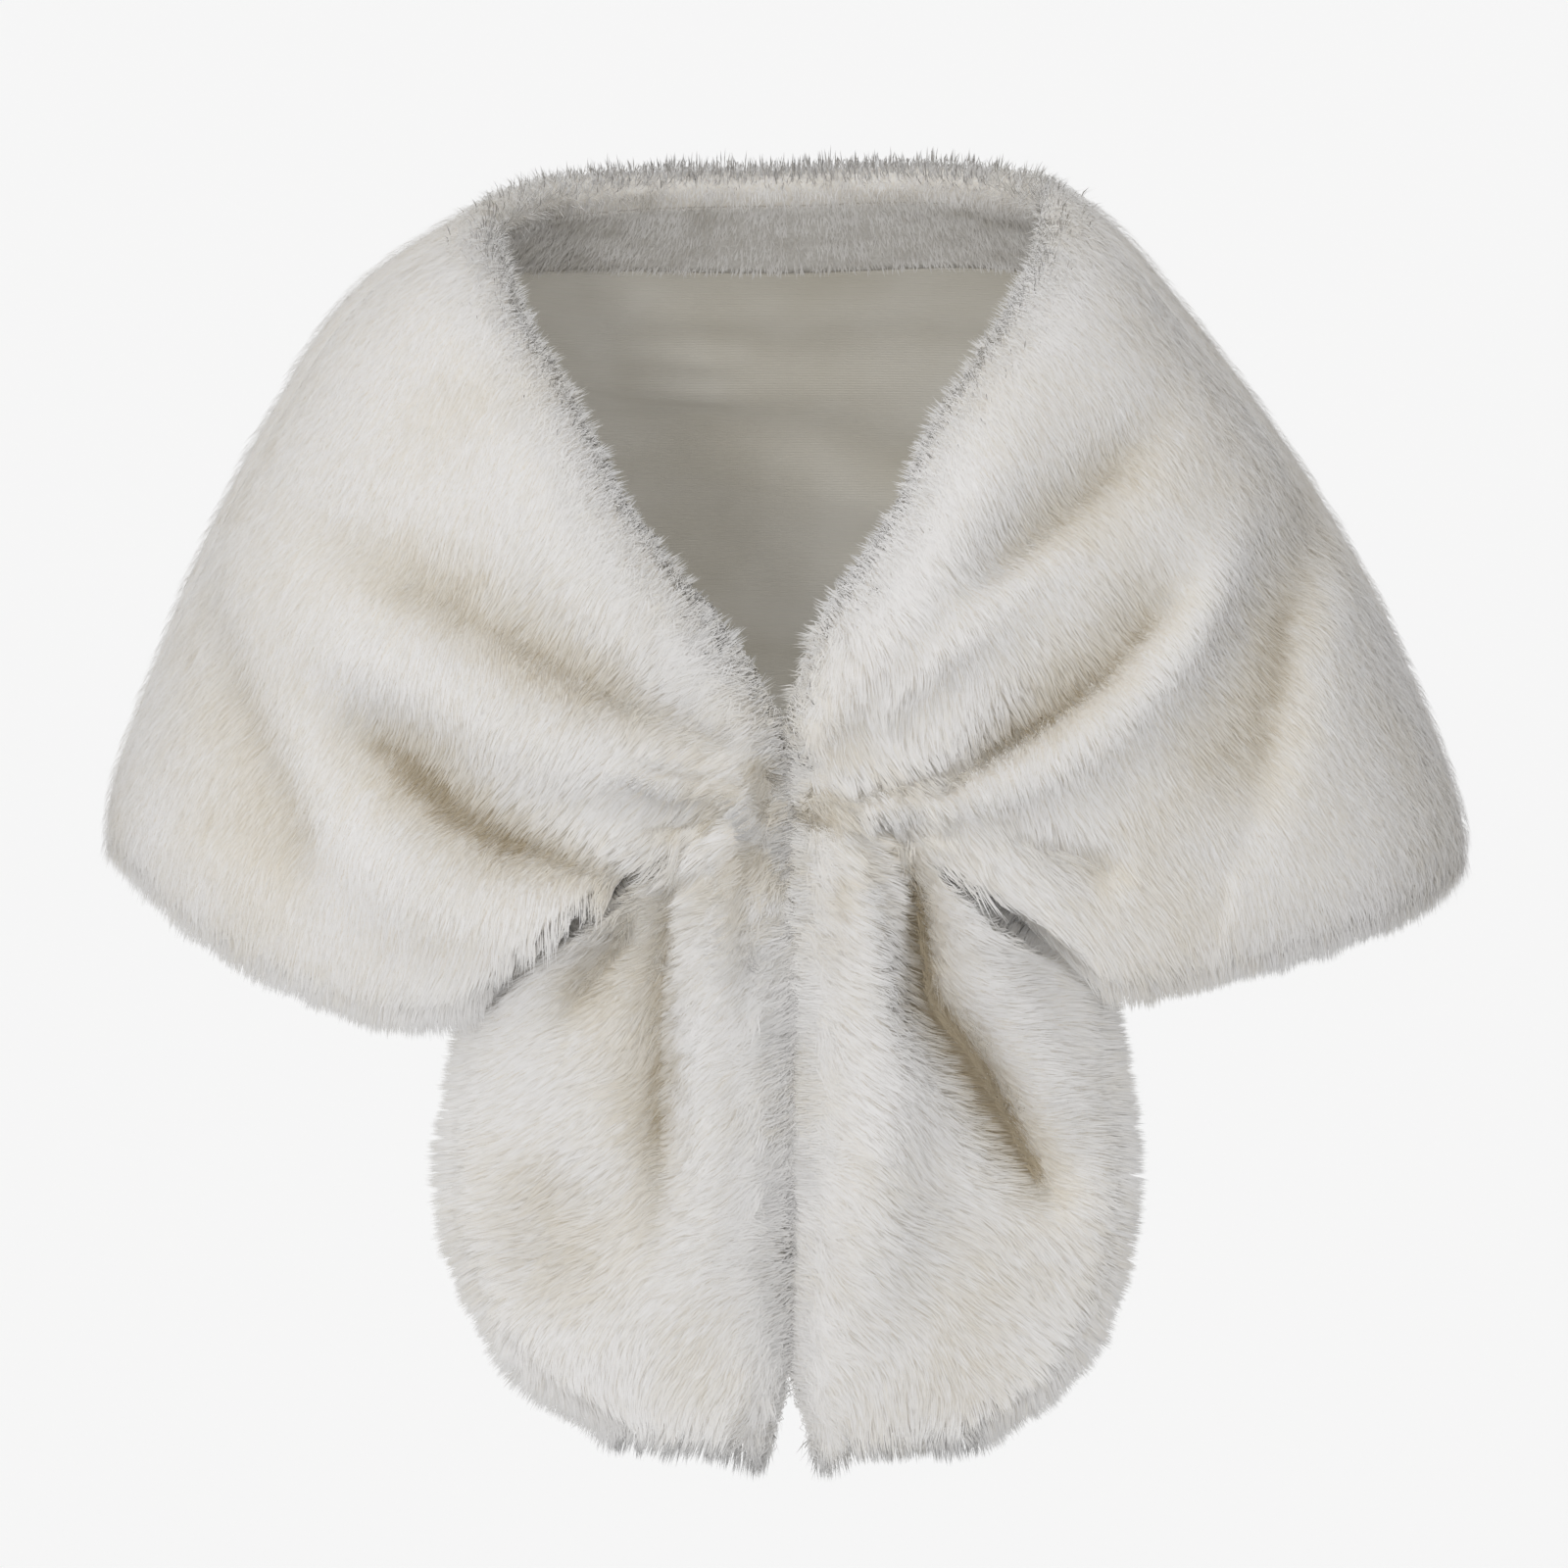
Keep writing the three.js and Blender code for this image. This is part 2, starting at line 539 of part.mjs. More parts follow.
// The eye: a plate on the lining with a slot, which leaves a bar on its inner side.
function eyeGeometry({ front, height }) {
  const { sheet, bar, barWidth, far, slot, slotHeight } = CLASP;
  const plate = new THREE.Shape(
    rectangle(bar, -CLASP.height / 2, far - bar, CLASP.height).getPoints(),
  );
  plate.holes.push(rectangle(bar + barWidth, -slotHeight / 2, slot, slotHeight));
  const geometry = new THREE.ExtrudeGeometry(plate, { depth: sheet, bevelEnabled: false });
  geometry.rotateX(Math.PI / 2);
  return geometry.translate(0, front + sheet, height);
}

// The hook: a strap that lies on the lining, rises behind the eye's bar and bends round it.
// Its profile is drawn with the front of the plates at nought.
function hookGeometry({ front, height }) {
  const { sheet, gap, far, riseFrom, riseTo, bar, barWidth, strap, tip } = CLASP;
  const middle = sheet / 2;
  const inner = middle + gap;
  const outer = inner + sheet;
  const bend = bar + barWidth + gap;
  const profile = new THREE.Shape();
  profile.moveTo(-far, sheet);
  profile.lineTo(-riseFrom, sheet);
  profile.lineTo(-riseTo, middle + outer);
  profile.lineTo(bend, middle + outer);
  profile.absarc(bend, middle, outer, Math.PI / 2, -Math.PI / 2, true);
  profile.lineTo(bar - tip, middle - outer);
  profile.lineTo(bar - tip, middle - inner);
  profile.lineTo(bend, middle - inner);
  profile.absarc(bend, middle, inner, -Math.PI / 2, Math.PI / 2, false);
  profile.lineTo(-riseTo + sheet / 2, middle + inner);
  profile.lineTo(-riseFrom + sheet / 2, 0);
  profile.lineTo(-far, 0);
  profile.closePath();
  const geometry = new THREE.ExtrudeGeometry(profile, {
    depth: strap,
    bevelEnabled: false,
    curveSegments: 8,
  });
  return geometry.translate(0, front, height - strap / 2);
}

// ---- Materials ----
const fur = new THREE.MeshStandardMaterial({ color: 0xe4e1dc, roughness: 0.95, metalness: 0 });
const satin = new THREE.MeshStandardMaterial({ color: 0xb9b6aa, roughness: 0.45, metalness: 0 });
const facingFur = new THREE.MeshStandardMaterial({ color: 0xc4c1bb, roughness: 0.95, metalness: 0 });
const steel = new THREE.MeshStandardMaterial({ color: 0xb8babd, roughness: 0.3, metalness: 1 });

function piece(name, geometry, material) {
  const mesh = new THREE.Mesh(geometry, material);
  mesh.name = name;
  return mesh;
}

// ---- Stretches of the band ----
// A seam gap to one side of a meeting, in rows of the table, where the band is longest between.
function rowGap(side, t) {
  const step = 0.05;
  const apart = [0.1, 0.5, 0.9].map((v) =>
    sectionAt(side, t + step).at(v).place.distanceTo(sectionAt(side, t - step).at(v).place),
  );
  return (SEAM * step) / Math.min(...apart);
}

// A front or a tail, from row t0 to row t1 of one side.
function halfStretch(stretch, side, t0, t1, layer) {
  const from = t0 + rowGap(side, t0);
  const to = t1 === TAIL_END ? t1 : t1 - rowGap(side, t1);
  const rings = spread(side, from, to, SECTION_COUNTS[stretch]).map((t) =>
    wallRing(sectionWithNeighbours(side, t), layer),
  );
  if (t1 === TAIL_END && layer === SHELL) {
    rings.push(...endRings(rings.at(-1), layer, END_REACH));
  }
  return solidThrough(rings, layer);
}

// The back, from the wearer's right shoulder round to the left.
function backStretch(layer) {
  const half = (SECTION_COUNTS.back + 1) / 2;
  const ringsOf = (side) =>
    spread(side, 0, SHOULDER - rowGap(side, SHOULDER), half).map((t) =>
      wallRing(sectionWithNeighbours(side, t), layer),
    );
  return solidThrough([...ringsOf(-1).reverse(), ...ringsOf(1).slice(1)], layer);
}

const shawl = new THREE.Group();
shawl.add(piece("shell_back", backStretch(SHELL), fur));
shawl.add(piece("lining_back", backStretch(BACK_LINING_LAYER), satin));
shawl.add(piece("neck_facing", backStretch(FACING_LAYER), facingFur));
for (const [name, side] of [["right", -1], ["left", 1]]) {
  const front = (layer) => halfStretch("front", side, SHOULDER, GATHER, layer);
  const tail = (layer) => halfStretch("tail", side, GATHER, TAIL_END, layer);
  shawl.add(piece(`shell_front_${name}`, front(SHELL), fur));
  shawl.add(piece(`lining_front_${name}`, front(LINING_LAYER), satin));
  shawl.add(piece(`shell_tail_${name}`, tail(SHELL), fur));
  shawl.add(piece(`lining_tail_${name}`, tail(LINING_LAYER), satin));
}

const seat = claspSeat();
shawl.add(piece("clasp_hook", hookGeometry(seat), steel));
shawl.add(piece("clasp_eye", eyeGeometry(seat), steel));

export default shawl;
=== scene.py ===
"""Faux fur shawl, worn and hollow: undercoat, fur strands, satin lining, facing and clasp."""
import math

import bpy
import numpy as np
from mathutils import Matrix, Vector
from mathutils.kdtree import KDTree


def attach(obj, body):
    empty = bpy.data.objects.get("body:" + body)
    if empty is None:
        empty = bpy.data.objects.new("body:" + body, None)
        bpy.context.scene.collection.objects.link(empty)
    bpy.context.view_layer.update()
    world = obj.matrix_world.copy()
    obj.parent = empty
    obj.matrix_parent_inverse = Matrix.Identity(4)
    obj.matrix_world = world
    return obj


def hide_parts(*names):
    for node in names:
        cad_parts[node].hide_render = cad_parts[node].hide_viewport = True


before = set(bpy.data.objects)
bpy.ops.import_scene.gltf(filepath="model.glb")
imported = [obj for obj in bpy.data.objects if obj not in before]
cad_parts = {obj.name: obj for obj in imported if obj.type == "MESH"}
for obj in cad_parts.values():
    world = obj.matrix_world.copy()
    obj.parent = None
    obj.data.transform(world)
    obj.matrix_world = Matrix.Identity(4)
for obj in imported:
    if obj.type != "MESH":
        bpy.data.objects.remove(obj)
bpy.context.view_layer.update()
MM = 0.001
SCENE = bpy.context.scene

# ---- Sizes in millimetres: the part's own, with the folds and the tails' edges refined ----
INNER_SHARE = 0.35  # share of each fold that shows on the inside
DEEPEST_FOLD = 16
SQUARENESS = 0.14  # how much fuller than an ellipse the figure is in plan
SIDE_FADE = 45  # folds die away near the line over the shoulders
GATHER_RANGE = 85  # folds grow narrow within this distance of the gather
NARROWEST = 0.4
CALM_RANGE = 52  # and grow shallow within this one
CALMEST = 0.5
GATHER_BLEND = 0.7  # rows on each side of the gather over which the tail's folds take over
NECK_ROUND = 0.13  # shares of the width over which the fur's top rounds off
HEM_ROUND = 0.08
NECK_THINNER = 0.22  # shares of the fur's depth that are gone at the very edges
HEM_THINNER = 0.12
SHOULDER, GATHER, TAIL_END = 4, 13, 20  # rows where the stretches meet

# Half-widths and depths of the figure: height, right width, left width, front, back.
FIGURE = np.array([
    [12, 80, 76, 26, 62],
    [-20, 121, 114, 62, 84],
    [-54, 166, 143, 92, 102],
    [-100, 196, 178, 118, 117],
    [-140, 217, 204, 130, 126],
    [-184, 236, 228, 137, 132],
    [-264, 263, 258, 138, 140],
    [-320, 266, 262, 134, 143],
    [-520, 266, 262, 132, 143],
], float)

# Sections: neck turn and height, hem turn and height, each right then left, reach and tuck.
# Turns are degrees round the figure from the middle of the back.
SECTIONS = np.array([
    [0, 0, -8, -8, 0, 0, -286, -286, 14, 0],
    [30, 30, -9, -6, 24, 24, -285, -285, 14, 0],
    [58, 58, -12, -9, 48, 48, -280, -282, 14, 0],
    [82, 82, -17, -11, 70, 70, -270, -276, 14, 0],
    [106, 107, -24, -16, 91, 91, -261, -268, 14, 0],
    [130, 132, -38, -36, 108, 108, -264, -272, 14, 0],
    [146, 149, -63, -63, 122, 122, -279, -279, 14, 0],
    [155, 160, -90, -90, 133, 133, -294, -286, 14, 0],
    [161.5, 166, -120, -119, 142, 142, -306, -293, 14, 2],
    [167.5, 171, -147, -145, 149, 149.5, -311, -298, 14, 5],
    [172.5, 175, -172, -166, 154.5, 154.6, -307, -299, 12, 8],
    [175.8, 177, -192, -186, 159, 158, -290, -290, 5, 8],
    [177.6, 178, -207, -202, 164.6, 162.3, -269, -273.5, 1.5, 5],
    [178.3, 178.3, -226, -224, 171.2, 169, -254.5, -257.5, 0.3, 0],
    [178.4, 178.4, -260, -256, 164.4, 162.4, -285.5, -291, 1.5, -4],
    [178.5, 178.5, -299, -295, 157.8, 157.2, -306, -305, 9, -12],
    [178.5, 178.5, -342, -340, 155.4, 155.6, -350, -340, 14, -14],
    [178.5, 178.5, -385, -385, 154.6, 154.6, -394, -392, 14, -10],
    [178.4, 178.4, -425, -425, 156.8, 156.2, -432, -432, 14, -8],
    [178.3, 178.3, -461, -461, 161, 160, -462, -462, 14, -5],
    [177.3, 177.1, -486, -486, 167, 166, -481, -482, 12, -3],
], float)
# The gather on each side, across and up in the front plane.
GATHER_PLACE = {-1: (-30, -238), 1: (32, -234)}

# Folds: height, half-widths left and right of the way along, shares of the height at the start
# and the end, crispness, and the line in the front plane.
FRONT_FOLDS = [
    (-11, 17, 15, 0, 0.5, 1.7,
     [(-205, -112), (-146, -147), (-110, -166), (-64, -190), (-24, -208)]),
    (7, 20, 16, 0, 0.7, 2, [(-215, -160), (-150, -182), (-100, -206), (-52, -226)]),
    (-16, 15, 16, 0.1, 0.6, 1.5,
     [(-186, -186), (-159, -208), (-127, -236), (-98, -250), (-60, -262)]),
    (8, 16, 18, 0, 0.5, 2, [(-196, -228), (-150, -262), (-112, -276), (-76, -272)]),
    (-7, 9, 26, 0.2, 0.1, 1.5,
     [(-226, -135), (-213, -188), (-197, -230), (-190, -256), (-202, -280)]),
    (6, 22, 18, 0.2, 0.6, 2, [(-120, -55), (-98, -110), (-62, -160), (-22, -200)]),
    (7, 16, 18, 0.2, 0.7, 2, [(106, -50), (72, -106), (42, -156), (14, -200)]),
    (-12, 13, 11, 0, 0.2, 1.6, [(152, -78), (118, -108), (90, -132), (58, -158)]),
    (6, 10, 12, 0, 0.5, 2, [(128, -118), (90, -145), (60, -170), (36, -192)]),
    (-16, 10, 15, 0, 0.6, 1.5, [(160, -132), (142, -160), (118, -186), (80, -211), (50, -234)]),
    (9, 13, 15, 0.1, 0.6, 2, [(174, -114), (158, -158), (130, -192), (100, -217), (60, -234)]),
    (-12, 10, 32, 0.1, 0.3, 1.7, [(196, -118), (186, -190), (174, -250)]),
    (-8, 9, 8, 0, 0.4, 1.8, [(132, -262), (112, -254), (88, -244)]),
]
TAIL_FOLDS = [
    (9, 14, 14, 0.6, 0, 2.2, [(-22, -240), (-26, -320), (-26, -400), (-32, -462)]),
    (7, 9, 9, 0.4, 0.3, 2, [(-3, -238), (-5, -320), (-5, -400), (-9, -470)]),
    (-12, 7, 12, 0.7, 0, 1.5, [(-40, -246), (-47, -296), (-48, -360), (-50, -430)]),
    (-9, 9, 9, 0.6, 0, 1.8, [(-56, -268), (-68, -294), (-96, -334)]),
    (-5, 22, 22, 0, 0, 2, [(-76, -370), (-86, -410), (-92, -455)]),
    (10, 16, 16, 0.6, 0, 2, [(20, -238), (30, -290), (34, -350), (30, -410), (26, -460)]),
    (-28, 11, 10, 0.6, 0, 1.5,
     [(40, -240), (48, -270), (51, -312), (72, -346), (92, -384), (104, -408)]),
    (10, 13, 13, 0.5, 0, 2, [(62, -262), (80, -310), (100, -350), (112, -390)]),
]
# Small tucks round the gather, on the fronts and the tails both.
TUCKS = [
    (-18, 9, 9, 0.3, 0.2, 2, [(-5, -212), (-3, -228), (6, -238), (24, -241)]),
    (12, 13, 13, 0.2, 0.2, 2, [(-24, -224), (-16, -236), (-12, -250)]),
    (-9, 9, 10, 0, 0, 2, [(12, -231), (30, -227), (52, -221), (70, -214)]),
    (9, 9, 9, 0, 0, 2, [(12, -237), (30, -236), (50, -233), (68, -228)]),
    (-9, 8, 8, 0, 0, 2, [(12, -244), (32, -246), (50, -244), (66, -240)]),
    (-8, 9, 9, 0, 0, 2, [(-14, -236), (-28, -238), (-44, -240), (-60, -240)]),
    (8, 9, 9, 0, 0, 2, [(-14, -229), (-32, -226), (-52, -222), (-70, -217)]),
    (7, 9, 9, 0, 0, 2, [(-14, -244), (-30, -250), (-42, -258), (-50, -268)]),
]
BACK_FOLDS = [
    (-6, 18, 22, 0, 0, 2, [(-190, -96), (-110, -132), (-10, -148), (90, -136), (170, -104)]),
    (5, 24, 26, 0, 0, 2, [(-205, -150), (-120, -192), (-15, -205), (100, -196), (190, -156)]),
    (-6, 20, 20, 0, 0.2, 2, [(-120, -200), (-140, -240), (-150, -280)]),
    (-6, 20, 24, 0, 0.2, 2, [(96, -206), (112, -244), (118, -282)]),
    (-5, 16, 20, 0, 0.2, 2, [(-14, -226), (-20, -256), (-24, -284)]),
]


# ---- Curves, noise and vectors ----
def through(places, values, t):
    """Values at places t of the smooth curve through the given ones."""
    places, values, t = (np.asarray(a, float) for a in (places, values, t))
    k = np.arange(len(places))
    a, b = np.maximum(k - 1, 0), np.minimum(k + 1, k[-1])
    fold_light_and_shade = (values[b] - values[a]) / (places[b] - places[a])
    i = np.clip(np.searchsorted(places, t, side="left") - 1, 0, k[-1] - 1)
    span = places[i + 1] - places[i]
    s = np.clip((t - places[i]) / span, 0, 1)
    rise = values[i + 1] - values[i]
    begin, end = fold_light_and_shade[i] * span, fold_light_and_shade[i + 1] * span
    return values[i] + s * (begin + s * (3 * rise - 2 * begin - end + s * (begin + end - 2 * rise)))


def smooth(s):
    """A smooth step from 0 to 1."""
    c = np.clip(s, 0, 1)
    return c * c * (3 - 2 * c)


def unit(v):
    return v / np.maximum(np.linalg.norm(v, axis=-1, keepdims=True), 1e-9)


def dot(a, b):
    return (a * b).sum(-1, keepdims=True)


NOISE_CELLS = 32
NOISE_SHIFT = 1000  # keeps every place on the positive side of the table
NOISE_GAIN = 1.6


def noise(points, scale, seed):
    """Smooth noise, mostly from -1 to 1, with bumps of about the scale in millimetres."""
    table = np.random.default_rng(seed).uniform(-1, 1, (NOISE_CELLS,) * 3)
    q = points / scale + NOISE_SHIFT
    i = np.floor(q).astype(int)
    f = q - i
    f = f * f * (3 - 2 * f)
    out = np.zeros(points.shape[:-1])
    for corner in range(8):
        d = np.array([corner & 1, corner >> 1 & 1, corner >> 2 & 1])
        w = np.where(d == 1, f, 1 - f).prod(-1)
        j = (i + d) % NOISE_CELLS
        out += w * table[j[..., 0], j[..., 1], j[..., 2]]
    return out * NOISE_GAIN


# ---- The backing on the figure ----
TURN_STEP, HEIGHT_STEP = 0.5, 1  # degrees and millimetres over which the slope is taken


def figure_size(column, height):
    """One of the figure's half-widths or depths at a height."""
    return through(-FIGURE[:, 0], FIGURE[:, column], -height)


def on_figure(side, turn, height):
    """The place on the figure at a turn and a height, on the right (-1) or the left (1)."""
    angle = np.radians(turn)
    across, along = np.sin(angle), np.cos(angle)
    width = figure_size(1 if side < 0 else 2, height)
    depth = np.where(along > 0, figure_size(4, height), figure_size(3, height))
    return np.stack([
        side * width * across * (1 + SQUARENESS * along**2),
        depth * along * (1 + SQUARENESS * across**2),
        height,
    ], -1)


def outward(side, turn, height):
    """The direction out of the figure there."""
    round_it = (on_figure(side, turn + TURN_STEP, height)
                - on_figure(side, turn - TURN_STEP, height))
    up = on_figure(side, turn, height + HEIGHT_STEP) - on_figure(side, turn, height - HEIGHT_STEP)
    return unit(np.cross(round_it, up) * -side)


ROWS = np.arange(len(SECTIONS))
TRACE = np.linspace(0, 1, 61)  # shares of the way from the neck edge to the hem


def backing(side, t, v):
    """Places and outward directions of the backing at rows t and shares v of the width, as two
    grids, and the width at each row."""
    pick = 0 if side < 0 else 1
    neck_turn, neck_height, hem_turn, hem_height = (
        through(ROWS, SECTIONS[:, 2 * k + pick], t)[:, None] for k in range(4)
    )
    tuck = through(ROWS, SECTIONS[:, 9], t)[:, None, None]
    traced = on_figure(side, neck_turn + (hem_turn - neck_turn) * TRACE,
                       neck_height + (hem_height - neck_height) * TRACE)
    steps = np.linalg.norm(np.diff(traced, axis=1), axis=-1)
    lengths = np.concatenate([np.zeros((len(t), 1)), steps.cumsum(1)], 1)
    w = np.stack([np.interp(v * row[-1], row, TRACE) for row in lengths])
    turn = neck_turn + (hem_turn - neck_turn) * w
    height = neck_height + (hem_height - neck_height) * w
    out = outward(side, turn, height)
    return on_figure(side, turn, height) + tuck * smooth(w)[..., None] * out, out, lengths[:, -1]


FOLD_POINTS = 19
FOLD_FADE = 0.35  # share of a fold's length over which each end dies away


def fold_line(points):
    """Evenly shared points of the smooth line through a fold's own points."""
    t = np.linspace(0, len(points) - 1, FOLD_POINTS)
    places = np.arange(len(points))
    return np.stack([through(places, [p[axis] for p in points], t) for axis in (0, 1)], -1)


FOLDS = {"front": FRONT_FOLDS, "tail": TAIL_FOLDS, "both": TUCKS, "back": BACK_FOLDS}
FOLD_LINES = [(stretch, *fold[:-1], fold_line(fold[-1]))
              for stretch, folds in FOLDS.items() for fold in folds]


def fold_height(fold, x, z, narrowing):
    """How far one fold lifts the fur at places x and z of the front plane."""
    _, height, left_wide, right_wide, start, end, crisp, line = fold
    best = np.full(x.shape, np.inf)
    left = np.zeros(x.shape, bool)
    share = np.zeros(x.shape)
    last = len(line) - 1
    for i in range(last):
        (ax, az), (dx, dz) = line[i], line[i + 1] - line[i]
        s = np.clip(((x - ax) * dx + (z - az) * dz) / (dx * dx + dz * dz), 0, 1)
        distance = np.hypot(x - ax - s * dx, z - az - s * dz)
        near = distance < best
        best = np.where(near, distance, best)
        left = np.where(near, dx * (z - az) - dz * (x - ax) > 0, left)
        share = np.where(near, (i + s) / last, share)
    wide = narrowing * np.where(left, left_wide, right_wide)
    begins = start + (1 - start) * smooth(share / FOLD_FADE)
    finishes = end + (1 - end) * smooth((1 - share) / FOLD_FADE)
    return height * begins * finishes * np.exp(-((best / wide) ** crisp))


def folds_at(side, t, place, tucks=True):
    """How far the folds lift the fur, on a grid of places in rows t. The small tucks round the
    gather are in the fur alone, and the inside behind them, where the clasp lies, has none."""
    x, y, z = place[..., 0], place[..., 1], place[..., 2]
    gather_x, gather_z = GATHER_PLACE[side]
    away = np.hypot(x - gather_x, z - gather_z)
    on_back = y > 0
    narrowing = np.where(on_back, 1, np.clip(away / GATHER_RANGE, NARROWEST, 1))
    calm = np.where(on_back, 1, CALMEST + (1 - CALMEST) * smooth(away / CALM_RANGE))
    tail = smooth(0.5 + (t[:, None] - GATHER) / (2 * GATHER_BLEND)) * np.ones(x.shape)
    shares = {"back": on_back * 1.0, "front": ~on_back * (1 - tail), "tail": ~on_back * tail,
              "both": ~on_back * 1.0}
    total = np.zeros(x.shape)
    for fold in FOLD_LINES:
        share = shares[fold[0]]
        here = (share > 0) & (tucks or fold[0] != "both")
        if here.any():
            total[here] += share[here] * fold_height(fold, x[here], z[here], narrowing[here])
    return smooth(np.abs(y) / SIDE_FADE) * calm * DEEPEST_FOLD * np.tanh(total / DEEPEST_FOLD)


# ---- Walls: rings of points round the band's section, row by row ----
UNDER_RISE = 18  # top of the undercoat over the backing
NECK_REACH = 7.3
HEM_REACH_SHARE = 0.45  # share of a section's own reach
ARC_STEPS = 6
OUTER_V = np.linspace(0, 1, 76)
INNER_V = np.linspace(0, 1, 22)
FINE_ROWS = 161
SLOPE_STEP = 0.12  # rows to each side over which the edges' own direction is taken
BESIDE_NECK, BESIDE_HEM = 0.02, 0.98  # shares of the width just inside the edges


def even_rows(side, t0, t1, count):
    """Rows spaced evenly along the middle of a stretch."""
    t = np.linspace(t0, t1, FINE_ROWS)
    middle = backing(side, t, np.array([0.5]))[0][:, 0]
    lengths = np.concatenate([[0], np.linalg.norm(np.diff(middle, axis=0), axis=1).cumsum()])
    return np.interp(np.linspace(0, lengths[-1], count), lengths, t)


def thinning(v):
    """Share of the fur's depth that is gone towards the neck edge and the hem."""
    neck = np.clip(1 - v / NECK_ROUND, 0, 1)**2
    hem = np.clip(1 - (1 - v) / HEM_ROUND, 0, 1)**2
    return 1 - (1 - NECK_THINNER * neck) * (1 - HEM_THINNER * hem)


def wall(side, t, hem_reach):
    """Rings of the wall between the top of the undercoat and the backing.
    A ring runs round the neck edge, down the outside, round the hem and back up the inside.
    Returns places, each column's share v and angle past the neck edge or the hem, and lifts."""
    angles = np.linspace(0, math.pi, ARC_STEPS + 2)[1:-1]
    v = np.concatenate([[0], OUTER_V, [1], INNER_V])
    place, out, _ = backing(side, t, v)
    lift = folds_at(side, t, place)
    inner_lift = INNER_SHARE * folds_at(side, t, place, tucks=False)
    top = place + out * (UNDER_RISE * (1 - thinning(v)) + lift)[..., None]
    bottom = place + out * inner_lift[..., None]
    before = backing(side, np.maximum(t - SLOPE_STEP, 0), v)[0]
    after = backing(side, np.minimum(t + SLOPE_STEP, TAIL_END), v)[0]

    def edge(column, beside, reach):
        """The round edge in a column, that reaches out away from the share beside it."""
        centre = (top[:, column] + bottom[:, column]) / 2
        radius = (top[:, column] - bottom[:, column]) / 2
        o = out[:, column]
        onward = place[:, column] - backing(side, t, np.array([beside]))[0][:, 0]
        onward = unit(onward - dot(onward, o) * o)
        square = unit(np.cross(after[:, column] - before[:, column], o))
        square = np.where(dot(square, onward) < 0, -square, square)
        off = unit(square + onward)
        a = angles[None, :, None]
        return (centre[:, None] + radius[:, None] * np.cos(a)
                + off[:, None] * np.reshape(reach, (-1, 1, 1)) * np.sin(a))

    hem = 1 + len(OUTER_V)
    ring = np.concatenate([
        edge(0, BESIDE_NECK, NECK_REACH)[:, ::-1], top[:, 1:hem],
        edge(hem, BESIDE_HEM, hem_reach), bottom[:, :hem:-1],
    ], 1)
    turned = np.concatenate([-angles[::-1], 0 * OUTER_V, angles, np.full(len(INNER_V), math.pi)])
    source = np.concatenate([np.zeros(ARC_STEPS, int), np.arange(1, hem),
                             np.full(ARC_STEPS, hem), np.arange(len(v) - 1, hem, -1)])
    return ring, v[source], turned, lift[:, source]


def zip_cap(base, count, split, flip):
    """Triangles between the outside and the inside of the ring that starts at vertex base.
    Split is the columns where the neck edge and the hem turn round."""
    neck, hem = split
    outside = [(neck + k) % count for k in range((hem - neck) % count + 1)]
    inside = [(neck - k) % count for k in range((neck - hem) % count + 1)]
    faces, i, j = [], 0, 0
    while i < len(outside) - 1 or j < len(inside) - 1:
        ahead = (i + 1) / (len(outside) - 1) <= (j + 1) / (len(inside) - 1)
        if j == len(inside) - 1 or (i < len(outside) - 1 and ahead):
            corners = (outside[i], outside[i + 1], inside[j])
            i += 1
        else:
            corners = (outside[i], inside[j + 1], inside[j])
            j += 1
        if len(set(corners)) == 3:
            faces.append([base + c for c in (corners[::-1] if flip else corners)])
    return faces


def closed_mesh(rings, split, outward_sign):
    """Vertices and faces of a closed wall through rings."""
    rows, count = rings.shape[:2]
    a = np.arange(rows - 1)[:, None] * count + np.arange(count)
    b = np.arange(rows - 1)[:, None] * count + (np.arange(count) + 1) % count
    quads = np.stack([a, b, b + count, a + count], -1).reshape(-1, 4)
    if outward_sign < 0:
        quads = quads[:, ::-1]
    caps = zip_cap(0, count, split, outward_sign > 0)
    caps += zip_cap((rows - 1) * count, count, split, outward_sign < 0)
    return rings.reshape(-1, 3), quads.tolist() + caps


def new_piece(name, mesh, material):
    """A mesh of one material, as a piece that rides the part's only body."""
    mesh.materials.append(material)
    piece = bpy.data.objects.new(name, mesh)
    SCENE.collection.objects.link(piece)
    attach(piece, "root")
    return piece


def smooth_piece(name, vertices, faces, material):
    """A smooth-shaded piece with the given vertices and faces."""
    mesh = bpy.data.meshes.new(name)
    mesh.from_pydata((vertices * MM).tolist(), [], faces)
    mesh.polygons.foreach_set("use_smooth", [True] * len(mesh.polygons))
    return new_piece(name, mesh, material)


# ---- Materials ----
SHEEN_ROUGHNESS = 0.5
PATCH_SCALE, PATCH_DETAIL = 14, 3  # slow changes of the satin's colour
THREAD_SCALE, THREAD_WANDER, THREAD_DEPTH = 310, 0.6, 0.0002
GRAIN_DETAIL, GRAIN_DEPTH = 2, 0.0003
STRAND_ROUGHNESS, STRAND_SPECULAR = 0.7, 0.1
SHADE_END = 0.75  # share along a strand where the painted shade at its root ends


def srgb(r, g, b):
    """A colour given as 0 to 255 in sRGB, by the standard's own formula."""
    line = [c / 255 / 12.92 if c <= 10 else ((c / 255 + 0.055) / 1.055) ** 2.4 for c in (r, g, b)]
    return (*line, 1)


def set_inputs(node, values):
    for socket, value in values.items():
        node.inputs[socket].default_value = value


def join(source, output, target, socket):
    source.id_data.links.new(source.outputs[output], target.inputs[socket])


